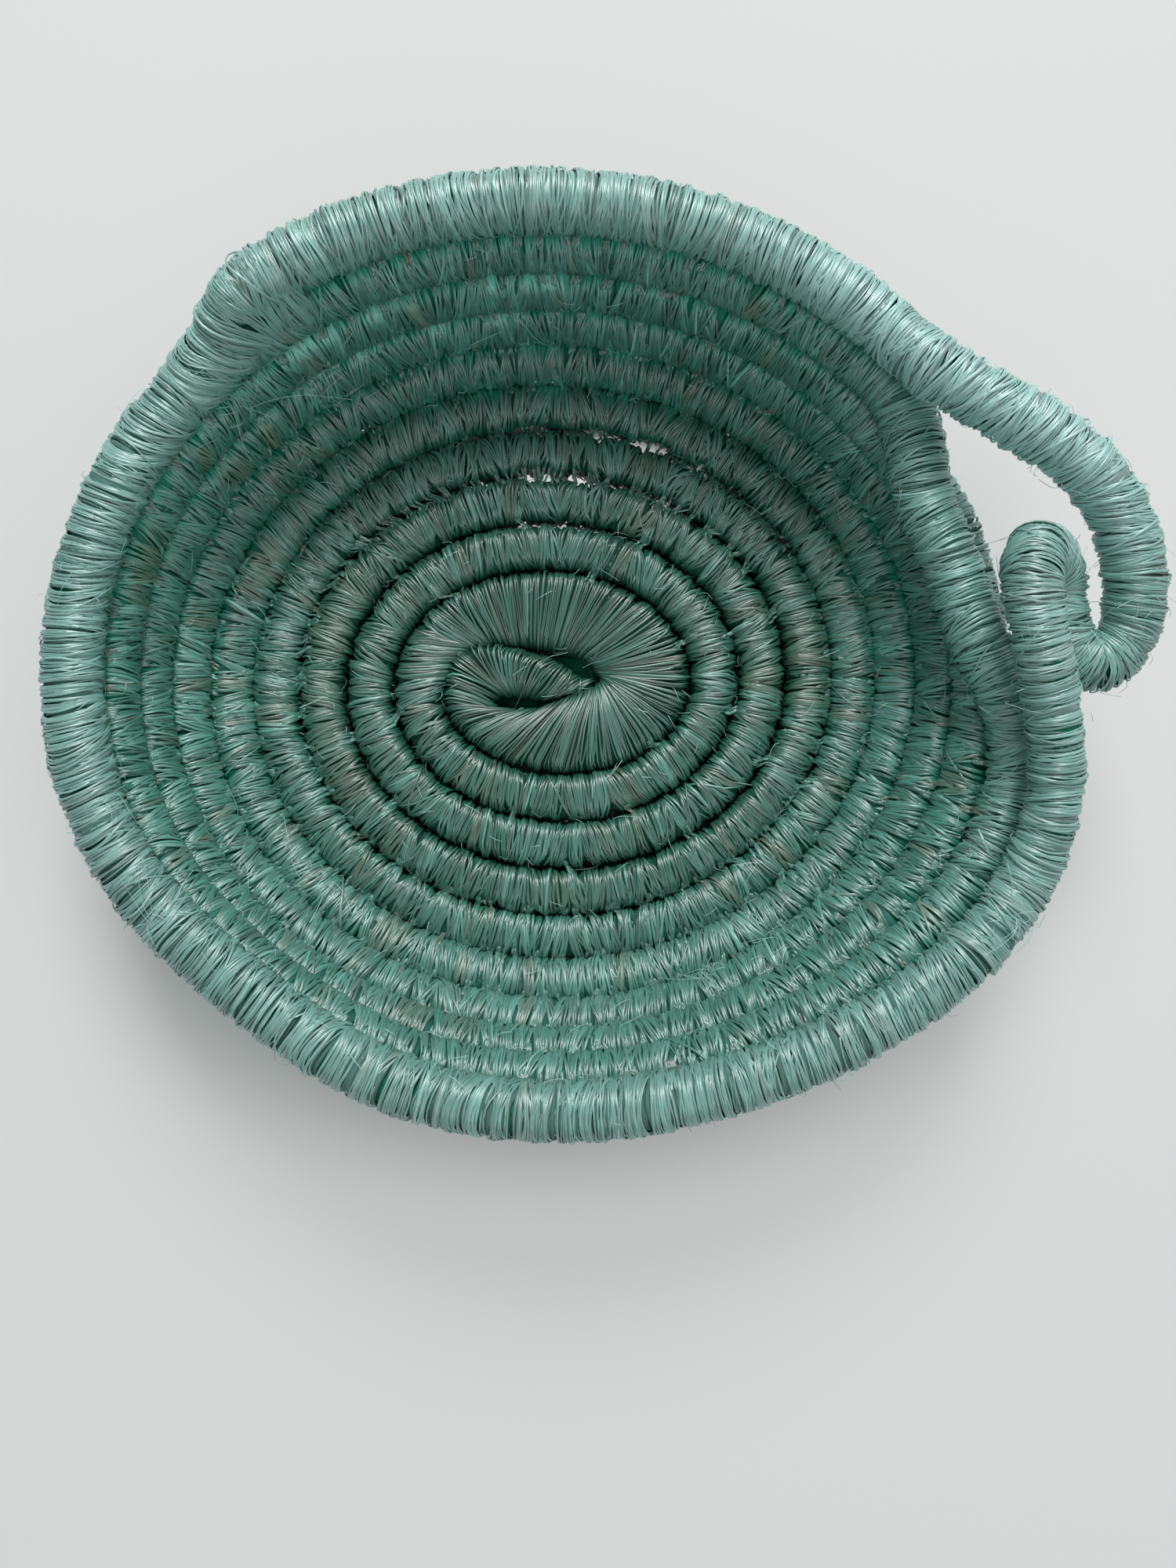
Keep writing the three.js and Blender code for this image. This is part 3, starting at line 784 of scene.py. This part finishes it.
def face_tints(rng, bunch, turns):
    """Colour of each strand: that of its bunch, which may be browned, or an odd one."""
    weights = np.array([weight for weight, _ in BUNCH_COLOURS])
    colours = np.array([colour for _, colour in BUNCH_COLOURS])
    bunches = bunch.max() + 1
    strands = len(bunch)
    picked = colours[rng.choice(len(colours), bunches, p=weights / weights.sum())]
    sizes = np.maximum(np.bincount(bunch, minlength=bunches), 1)
    bunch_turns = np.bincount(bunch, turns, minlength=bunches) / sizes
    browned = np.any([(bunch_turns > low) & (bunch_turns < high) for low, high in BROWNED], axis=0)
    dusty = rng.uniform(*DUSTY_SHARES, bunches)
    dusty = dusty * (rng.random(bunches) < np.where(browned, BROWNED_CHANCE, DUSTY_CHANCE))
    picked = mix(picked, DUSTY_COLOUR, dusty[:, None])
    odd = rng.random(strands) < ODD_CHANCE
    own = ODD_COLOURS[rng.integers(0, len(ODD_COLOURS), strands)]
    tints = np.where(odd[:, None], own, picked[bunch])
    return tints * rng.normal(1, STRAND_CONTRAST, (strands, 1)).clip(*STRAND_CONTRAST_LIMITS)


def strand_tints(rng, bunch, phi, turns, pale, shade, soak=0):
    """Tint of each strand at each of its points: painted shade deeper in the grooves, painted light and
    shade on parts of the wall, paler on the rim.
    """
    sine = np.sin(turns * TURN)
    # Painted light: the -Y side of the wall made paler where it faces the lamp
    painted_light = PAINTED_LIGHT * smoothstep(turns, *PAINTED_LIGHT_TURNS) * smoothstep(-sine, *PAINTED_LIGHT_SIDE)
    face = mix(face_tints(rng, bunch, turns), PALE_COLOUR, np.maximum(pale, painted_light)[:, None])
    aside = np.abs(np.cos(phi))
    inside = smoothstep(np.sin(phi), *INSIDE_FACE)
    lit = (smoothstep(turns, *LIT_TURNS) * smoothstep(sine, *LIT_SIDE))[:, None] * inside
    beside = turns[:, None] - (np.cos(phi) < 0)
    glows = [1 - smoothstep(np.abs(beside - at), GLOW_CORE * half, half) for at, half in GLOWS]
    glow = np.max(glows, axis=0)
    cover = np.where(np.cos(phi) > 0, by_turns(OUTER_COVER, turns)[:, None],
                     by_turns(INNER_COVER, turns)[:, None])

    # Painted shade towards the grooves, with painted light through the upper wall and at glowing places
    groove = mix(BASE_GROOVE, WALL_GROOVE, smoothstep(turns, *WALL_GROOVE_TURNS)[:, None])
    groove = mix(groove[:, None], LIT_GROOVE, lit[..., None])
    groove = mix(groove, GLOWING_GROOVE, glow[..., None])
    groove = mix(OUTSIDE_GROOVE, groove, inside[..., None])
    groove = mix(BETWEEN_BUNCHES, groove, np.maximum(smoothstep(aside, *GROOVE_SIDE), glow)[..., None])

    deep = DEEPEST * smoothstep(aside, DEEP_FROM - DEEP_FROM_LIT * lit, 1 - DEEP_TO_LIT * lit) * cover
    deep = np.maximum(deep, glow * inside * smoothstep(aside, *GLOW_SIDE))
    deep = np.maximum(deep, soak * mix(OPEN_SOAK, 1, cover))[..., None]
    # Painted shade at the foot of the wall on the +Y side
    dim = (window(turns, PAINTED_SHADE_FROM, PAINTED_SHADE_TO) * smoothstep(sine, *PAINTED_SHADE_SIDE))[:, None, None]
    under = 1 - OPEN_SHADE * (soak > 0) * (1 - cover[..., None])
    return mix(face[:, None], groove, deep) * shade * mix(1, PAINTED_SHADE, dim) * under


# Wound strands

def wave(rng, s, period):
    """Smooth random curve along the rope, from about -1 to 1."""
    total = 0
    for share in WAVE_SHARES:
        total = total + np.sin(s / (period * share) * TURN + rng.uniform(0, TURN)) * share
    return total / WAVE_HEIGHT


def strand_wave(rng, u, count, rates):
    """Sine curve along each strand, with a rate and a phase of its own."""
    return np.sin(u * rng.uniform(*rates, count)[:, None] + rng.uniform(0, TURN, count)[:, None])


def bunched(start, end, rng, winding):
    """Places of strands along the rope, their bunches, and half lengths of and places in those."""
    count = int((end - start) / winding.step)
    s = np.linspace(start, end, count) + rng.normal(0, winding.step * STEP_JITTER, count)
    lengths = rng.uniform(*winding.bunch, int((end - start) / winding.bunch[0]) + SPARE_BUNCHES)
    edges = start - winding.bunch[1] + np.concatenate([[0], np.cumsum(lengths)])
    bunch = np.searchsorted(edges, s) - 1
    half = (edges[bunch + 1] - edges[bunch]) / 2
    return s, bunch, half, (s - edges[bunch]) / half - 1


def wound_strands(course, start, end, rng, winding, lean=UPRIGHT):
    """Loops of fibre round a stretch of rope, in bunches: paths, normals, widths, thicknesses, tints."""
    s, bunch, half, off = bunched(start, end, rng, winding)
    count = len(s)
    turns = course.look(course.turns, s)
    u = np.linspace(0, 1, STRAND_POINTS)

    def per_bunch(low, high):
        return rng.uniform(low, high, bunch.max() + 1)[bunch]

    sway = per_bunch(-winding.sway, winding.sway)
    angle = by_turns(lean, turns) + LEAN_WAVE * wave(rng, s, LEAN_PERIOD) + sway
    angle = angle + rng.normal(0, winding.stray, count)
    crossing = rng.random(count) < CROSSING_SHARE
    angle = np.clip(angle + crossing * rng.normal(0, CROSSING_LEAN, count), -MOST_LEAN, MOST_LEAN)
    phi = (np.pi + rng.normal(0, START_JITTER, count))[:, None] - (TURN + OVERLAP) * u
    inner = smoothstep(-np.cos(phi), *SIDE_RANGE)
    outer = smoothstep(np.cos(phi), *SIDE_RANGE)
    along = np.tan(np.radians(angle))[:, None] * HALF_WIDTH * np.cos(phi)
    along = along + rng.normal(0, DRIFT, count)[:, None] * u
    pinch = (per_bunch(LEAST_PINCH, 1) * winding.pinch[0])[:, None] * inner
    pinch = pinch + (per_bunch(LEAST_PINCH, 1) * winding.pinch[1])[:, None] * outer
    along = along + (off * half)[:, None] * (BUNCH_SPREAD - pinch)
    along = along + per_bunch(-INNER_SHIFT, INNER_SHIFT)[:, None] * inner
    curl = rng.uniform(0, CURL, count)[:, None]
    along = along + curl * strand_wave(rng, u, count, CURL_RATES)

    crown = winding.crown * per_bunch(*CROWN_SHARES)
    lift = per_bunch(0, BUNCH_LIFT) + crown * (1 - off ** 2) + rng.uniform(0, STRAND_LIFT, count)
    lift = lift + crossing * CROSSING_LIFT
    whole = window(u, (0, TAPER), (1 - TAPER, 1))
    edge = per_bunch(*EDGE_DEPTHS)[:, None] * (inner + outer)
    depth = winding.depth - lift + MM * by_turns(SNUG, turns)
    inset = depth[:, None] + edge + (1 - whole) * TAPER_DIP
    ripple = strand_wave(rng, u, count, RIPPLE_RATES)
    inset = inset + rng.uniform(*RIPPLE_DEPTHS, count)[:, None] * ripple
    twist = strand_wave(rng, u, count, TWIST_RATES)
    roll = (per_bunch(-BUNCH_ROLL, BUNCH_ROLL) + rng.normal(0, STRAND_ROLL, count))[:, None]
    roll = roll + rng.uniform(0, MOST_TWIST, count)[:, None] * twist

    paths, normals = course.skin(s[:, None] + along, phi, inset)
    slope = (2 * crown * off / half)[:, None] + roll
    normals = unit(normals + course.look(course.along, s[:, None] + along) * slope[..., None])
    widths = rng.uniform(*winding.width, count)[:, None] * mix(TAPER_WIDTH, 1, whole)
    thick = np.full_like(widths, winding.thickness) * mix(TAPER_THICKNESS, 1, whole)
    # Greener fibre and painted shade, by turns
    known, *levels = np.array(SHADES).T
    shades = np.stack([np.interp(turns, known, level) for level in levels], axis=-1)
    shade = winding.shade * shades[:, None]
    # Paler fibre with painted light on the rim and handle, painted light on the strip near turn 8
    tints = strand_tints(rng, bunch, phi, turns, by_turns(PALENESS, turns), shade, winding.soak)
    return paths, normals, widths, thick, tints


# Stitches and hairs

def smooth_path(points, per_span):
    """Curves through rows of points: (rows, points, 3) to (rows, more points, 3)."""
    before = 2 * points[:, :1] - points[:, 1:2]
    after = 2 * points[:, -1:] - points[:, -2:-1]
    padded = np.concatenate([before, points, after], axis=1)
    p0, p1, p2, p3 = padded[:, :-3], padded[:, 1:-2], padded[:, 2:-1], padded[:, 3:]
    spans = [0.5 * (2 * p1 + (p2 - p0) * u + (2 * p0 - 5 * p1 + 4 * p2 - p3) * u ** 2
                    + (3 * p1 - p0 - 3 * p2 + p3) * u ** 3) for u in np.arange(per_span) / per_span]
    inside = np.stack(spans, axis=2).reshape(len(points), -1, 3)
    return np.concatenate([inside, points[:, -1:]], axis=1)


def groove_stitches(outer, inner, turns, rng):
    """Bundles of fibre that cross the groove from one turn of the rope into the turn inside it."""
    bundles = len(turns)
    turns = np.repeat(turns, STITCH_STRANDS)
    count = len(turns)
    shift = rng.uniform(-STITCH_SHIFT, STITCH_SHIFT, count)
    slant = np.repeat(rng.normal(0, STITCH_SLANT, bundles), STITCH_STRANDS)
    slant = slant + rng.normal(0, STITCH_STRAY, count)
    stretches = [
        (outer, outer.place_of(turns) + shift, STITCH_OUTER_ROUTE),
        (inner, inner.place_of(turns - 1) + shift * STITCH_INNER_SHIFT, STITCH_INNER_ROUTE),
    ]
    rows, facing = [], []
    for course, place, route in stretches:
        for degrees, depth, share in route:
            phi = np.radians(degrees) + rng.normal(0, STITCH_ANGLE_STRAY, count)
            point, normal = course.skin(place + slant * share, phi, depth * MM)
            rows.append(point)
            facing.append(normal)
    paths = smooth_path(np.stack(rows, axis=1), STITCH_POINTS_PER_SPAN)
    normals = unit(smooth_path(np.stack(facing, axis=1), STITCH_POINTS_PER_SPAN))
    u = np.linspace(0, 1, paths.shape[1])
    whole = window(u, (0, STITCH_TAPER), (1 - STITCH_TAPER, 1)) + np.zeros((count, 1))
    widths = rng.uniform(*STITCH_WIDTHS, count)[:, None] * mix(STITCH_TAPER_WIDTH, 1, whole)
    thick = np.full_like(widths, STITCH_THICKNESS) * mix(TAPER_THICKNESS, 1, whole)
    bunch = np.arange(count) // STITCH_STRANDS
    inside_face = np.full_like(widths, np.pi / 2)
    tints = strand_tints(rng, bunch, inside_face, turns, np.zeros(count), STITCH_SHADE)
    return paths, normals, widths, thick, tints


def stray_hairs(course, start, end, count, rng, faces=(0, TURN), size=HAIR_SIZE):
    """Fine loose fibres that stand off the strands."""
    s = rng.uniform(start, end, count)
    phi = rng.uniform(*faces, count)
    root, normal = course.skin(s, phi, HAIR_DEPTH)
    along = course.look(course.along, s)
    turn = rng.uniform(0, TURN, count)[:, None]
    heading = along * np.cos(turn) + np.cross(along, normal) * np.sin(turn)
    length = rng.gamma(HAIR_SHAPE, size, count)[:, None]
    rise = rng.uniform(*HAIR_RISES, count)[:, None]
    bend = rng.normal(0, HAIR_BEND, (count, 1))
    side = np.cross(heading, normal)
    rows = [root - normal * HAIR_ROOT]
    for share, height in HAIR_ROUTE:
        reach = (heading * share + side * bend * share ** 2) * length
        rows.append(root + normal * (HAIR_LEAST_RISE + rise * height) + reach)
    paths = smooth_path(np.stack(rows, axis=1), HAIR_POINTS_PER_SPAN)
    points = paths.shape[1]
    widths = np.full((count, points), HAIR_WIDTH)
    tints = np.tile(PALE_COLOUR, (count, points, 1))
    return paths, np.repeat(normal[:, None], points, axis=1), widths, widths, tints


# Core of the rope

def bed_tube(course, start, end, rings):
    """Core of the rope with its inner layer of fibre, coloured dark as painted shade where it shows between
    the strands.
    """
    s = np.linspace(start, end, rings)[:, None] + np.zeros(BED_SIDES)
    phi = -TURN * np.arange(BED_SIDES) / BED_SIDES + np.zeros((rings, 1))
    points, _ = course.skin(s, phi, BED_DEPTH)
    return points.reshape(-1, 3), tube_faces(1, rings, BED_SIDES)


def centre_bed():
    """Low dome of fibre under the first turns, coloured dark as painted shade in the slits between them."""
    turn = TURN * np.arange(DOME_SIDES) / DOME_SIDES
    x = np.cos(turn) * DOME_LENGTH
    y = np.sin(turn) * DOME_WIDTH
    rings = [np.stack([x * size, y * size, 0 * turn + height * MM], axis=1) for size, height in DOME_RINGS]
    return np.concatenate(rings), tube_faces(1, len(rings), DOME_SIDES)


# Pieces

def joined(*groups):
    return [np.concatenate(parts) for parts in zip(*groups)]


def add_piece(piece, slot, *cad_nodes, body="basket"):
    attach(piece, body)
    if cad_nodes:
        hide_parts(*cad_nodes)


def add_bed(name, cad_node, *shells, body="basket"):
    points, faces, count = [], [], 0
    for shell, shell_faces in shells:
        points.append(shell)
        faces.extend(f + count for f in shell_faces)
        count += len(shell)
    add_piece(new_piece(name, np.concatenate(points), faces, BED), "core", cad_node, body=body)


def add_strands(name, strands, *cad_nodes, body="basket", material=FIBRE, slot="wrap"):
    """Strands as one piece or, where there are many, as several."""
    count = len(strands[0])
    pieces = -(-count // STRANDS_PER_PIECE)
    for number in range(pieces):
        first = number * count // pieces
        last = (number + 1) * count // pieces
        part = [values[first:last] for values in strands]
        label = name if pieces == 1 else f"{name}_{number + 1:02d}"
        replaced = cad_nodes if number == 0 else ()
        add_piece(strand_mesh(label, *part, material), slot, *replaced, body=body)


def add_root(name, rope, handle, start, end, rng, cad_node):
    """Rope that bends where the handle leaves the rim: its strands run from the rope onto the handle, in one
    piece.
    """
    strands = joined(*[wound_strands(course, low, high, rng, winding)
                       for course, low, high in (rope, handle) for winding in (RIM_UNDER, RIM)])
    piece = strand_mesh(name, *strands, FIBRE)
    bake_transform(piece)
    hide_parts(cad_node)


bowl = spiral_course(START_TURN, LOWER_ROOT_TURN)
tail = spiral_course(UPPER_ROOT_TURN, TAIL_END)
loop = handle_course()
rng = np.random.default_rng(SEED)

# Bowl
bowl_end = bowl.length[-1]
bowl_start = bowl.place_of(TIP_TURNS[0])
bowl_root = bowl_end - ROOT_ROPE
rim_start = bowl.place_of(RIM_TURN)
stretches, low = [], bowl_start
for last_turn, winding in BOWL_WINDINGS:
    high = min(bowl.place_of(last_turn), bowl_root)
    stretches.append(wound_strands(bowl, low, high, rng, winding, BOWL_LEAN))
    low = high
add_strands("bowl_strands", joined(*stretches), "bowl_wrap")
inner_strands = joined(wound_strands(bowl, bowl_start, rim_start, rng, UNDER),
                       wound_strands(bowl, rim_start, bowl_root, rng, RIM_UNDER))
add_strands("bowl_inner_strands", inner_strands, material=INNER_FIBRE)
add_bed("bowl_bed", "bowl_core", bed_tube(bowl, 0, bowl_end, BOWL_BED_RINGS), centre_bed())

# Tail
tail_end = tail.length[-1]
tail_strands = joined(wound_strands(tail, ROOT_ROPE, tail_end, rng, RIM),
                      wound_strands(tail, ROOT_ROPE, tail_end, rng, RIM_UNDER))
add_strands("tail_strands", tail_strands, "tail_wrap")
add_bed("tail_bed", "tail_core", bed_tube(tail, 0, tail_end, TAIL_BED_RINGS))

# Handle and its roots
loop_end = loop.length[-1]
loop_root = loop_end - ROOT_LOOP
loop_strands = joined(wound_strands(loop, ROOT_LOOP, loop_root, rng, LOOP, LOOP_LEAN),
                      wound_strands(loop, ROOT_LOOP, loop_root, rng, RIM_UNDER))
add_strands("handle_strands", loop_strands, "handle_wrap", body="handle")
add_bed("handle_bed", "handle_core", bed_tube(loop, 0, loop_end, LOOP_BED_RINGS), body="handle")
add_root("handle_lower_root", (bowl, bowl_root, bowl_end), (loop, 0, ROOT_LOOP),
         bowl.look(bowl.at, bowl_root), loop.look(loop.at, ROOT_LOOP), rng, "handle_lower_binding")
add_root("handle_upper_root", (tail, 0, ROOT_ROPE), (loop, loop_root, loop_end),
         tail.look(tail.at, ROOT_ROPE), loop.look(loop.at, loop_root), rng, "handle_upper_binding")

# Stitches, every few millimetres on the wall and fewer on the base
stitch_turns = []
for first, last, spacing in BOWL_STITCHES:
    places = np.arange(bowl.place_of(first), bowl.place_of(last), spacing)
    places = places + rng.uniform(-STITCH_JITTER, STITCH_JITTER, len(places)) * spacing
    stitch_turns.append(bowl.look(bowl.turns, places))
tail_turns = np.arange(UPPER_ROOT_TURN + TAIL_STITCH_START, TAIL_TURNS[0], TAIL_STITCH_STEP)
stitches = joined(groove_stitches(bowl, bowl, np.concatenate(stitch_turns), rng),
                  groove_stitches(tail, bowl, tail_turns, rng))
stitch_nodes = [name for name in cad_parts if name.startswith("stitch_")]
add_strands("stitch_strands", stitches, *stitch_nodes, slot="stitch")

# End of the rope, bound to the turn below it
end_turns = np.linspace(*END_BINDING, END_RINGS)
end_size = 1 - (1 - TAIL_SIZE) * smoothstep(end_turns, *TAIL_TURNS)
below = centreline(end_turns - 1)
rise = unit(centreline(end_turns) - below)
end_top = PITCH - HALF_WIDTH + 2 * HALF_WIDTH * end_size
end_top = mix(end_top, HALF_WIDTH, smoothstep(end_turns, TAIL_END, END_BINDING[1]))
end_half = (end_top + HALF_WIDTH) / 2
end_binding = Course(below + rise * (end_top - end_half)[:, None], rise, end_half, END_HEIGHT, end_turns)
end_strands = wound_strands(end_binding, 0, end_binding.length[-1], rng, RIM, END_LEAN)
add_strands("rope_end_strands", end_strands, "rope_end_binding")

# Hairs, with none on the handle near its roots
hairs = [stray_hairs(bowl, bowl_start, bowl_end, BOWL_HAIRS, rng)]
for turn, low, high, count in TUFTS:
    at = bowl.place_of(turn)
    faces = np.radians([low, high])
    hairs.append(stray_hairs(bowl, at - TUFT_REACH, at + TUFT_REACH, count, rng, faces, TUFT_HAIR_SIZE))
add_strands("bowl_fuzz", joined(*hairs))
handle_hairs = stray_hairs(loop, 3 * ROOT_LOOP, loop_end - 2 * ROOT_LOOP, HANDLE_HAIRS, rng)
add_strands("handle_fuzz", handle_hairs, body="handle")


# Floor, light and camera

FLOOR_HALF = 3.0
FLOOR_COLOUR = (0.84, 0.838, 0.835, 1)
FLOOR_ROUGHNESS = 0.8
FLOOR_GLOW_COLOUR = (*linear(232, 233, 232), 1)

# Where the floor glows: centre, narrowing in x, distances from and to, and the shares of glow there; the
# second is painted light, a patch in the basket's shadow that shows through the gaps in the base
FLOOR_GLOWS = [
    ((0, -0.02, 0), 0.8, (0.096, 0.15), (0, 0.5)),
    ((0.003, 0.062, 0), 0.4, (0.011, 0.018), (0.8, 0)),
]

# Lamps: name, place, size and power
LAMPS = [
    ("key", (0.04, 1.2, 1.15), 0.7, 17),
    ("side", (1.1, 0.15, 0.55), 0.8, 1.6),
    ("fill", (0.1, -0.9, 1.2), 1.0, 3.0),
]
LAMP_TARGET = (0, 0, 0.04)
WORLD_COLOUR = (0.78, 0.94, 0.91, 1)
WORLD_STRENGTH = 0.22
CAMERA_PLACE = (0.01023, -0.02996, 0.3628)
CAMERA_SENSOR = 36
CAMERA_LENS = 36
CAMERA_NEAR = 0.01


def maths(nodes, links, operation, first, second, **values):
    made = add_node(nodes, "ShaderNodeMath", operation=operation, **values)
    links.new(first, made.inputs[0])
    links.new(second, made.inputs[1])
    return made.outputs[0]


def floor_glow(nodes, links):
    """Share of glow at each place of the floor, for the camera, reflections and glass alone."""
    place = add_node(nodes, "ShaderNodeNewGeometry")
    rings = []
    for centre, narrow, distances, shares in FLOOR_GLOWS:
        narrowed = add_node(nodes, "ShaderNodeVectorMath", {1: (narrow, 1, 1)}, operation="MULTIPLY")
        links.new(place.outputs["Position"], narrowed.inputs[0])
        away = add_node(nodes, "ShaderNodeVectorMath", {1: centre}, operation="DISTANCE")
        links.new(narrowed.outputs[0], away.inputs[0])
        ring = map_range(nodes, distances, shares, interpolation_type="SMOOTHSTEP")
        links.new(away.outputs["Value"], ring.inputs["Value"])
        rings.append(ring.outputs[0])
    most = maths(nodes, links, "MAXIMUM", *rings)
    seen = add_node(nodes, "ShaderNodeLightPath").outputs
    rays = maths(nodes, links, "ADD", seen["Is Camera Ray"], seen["Is Glossy Ray"])
    rays = maths(nodes, links, "ADD", rays, seen["Is Transmission Ray"], use_clamp=True)
    return maths(nodes, links, "MULTIPLY", rays, most)


def floor_material():
    material, nodes, links, shader = material_nodes("pale_floor")
    shader.inputs["Base Color"].default_value = FLOOR_COLOUR
    shader.inputs["Roughness"].default_value = FLOOR_ROUGHNESS
    glow = add_node(nodes, "ShaderNodeEmission", {"Color": FLOOR_GLOW_COLOUR})
    blend = add_node(nodes, "ShaderNodeMixShader")
    links.new(floor_glow(nodes, links), blend.inputs[0])
    links.new(shader.outputs[0], blend.inputs[1])
    links.new(glow.outputs[0], blend.inputs[2])
    links.new(blend.outputs[0], nodes["Material Output"].inputs["Surface"])
    return material


def add_floor():
    mesh = bpy.data.meshes.new("floor")
    corners = [(x * FLOOR_HALF, y * FLOOR_HALF, 0) for x, y in ((-1, -1), (1, -1), (1, 1), (-1, 1))]
    mesh.from_pydata(corners, [], [(0, 1, 2, 3)])
    mesh.materials.append(floor_material())
    plane = bpy.data.objects.new("floor", mesh)
    bpy.context.scene.collection.objects.link(plane)


def add_lamp(name, place, size, power):
    lamp = bpy.data.lights.new(name, "AREA")
    lamp.shape = "DISK"
    lamp.size = size
    lamp.energy = power
    made = bpy.data.objects.new(name, lamp)
    made.location = place
    direction = Vector(LAMP_TARGET) - Vector(place)
    made.rotation_euler = direction.to_track_quat("-Z", "Y").to_euler()
    bpy.context.scene.collection.objects.link(made)


def add_world():
    world = bpy.data.worlds.new("studio")
    bpy.context.scene.world = world
    world.use_nodes = True
    background = world.node_tree.nodes["Background"]
    background.inputs["Color"].default_value = WORLD_COLOUR
    background.inputs["Strength"].default_value = WORLD_STRENGTH


def add_camera():
    """Camera over the bowl that looks straight down, with +Y up in its picture."""
    data = bpy.data.cameras.new("camera")
    data.sensor_fit = "HORIZONTAL"
    data.sensor_width = CAMERA_SENSOR
    data.lens = CAMERA_LENS
    data.clip_start = CAMERA_NEAR
    camera = bpy.data.objects.new("camera", data)
    camera.location = CAMERA_PLACE
    bpy.context.scene.collection.objects.link(camera)
    bpy.context.scene.camera = camera


add_floor()
for lamp_values in LAMPS:
    add_lamp(*lamp_values)
add_world()
add_camera()
bpy.context.scene.view_settings.view_transform = "Standard"
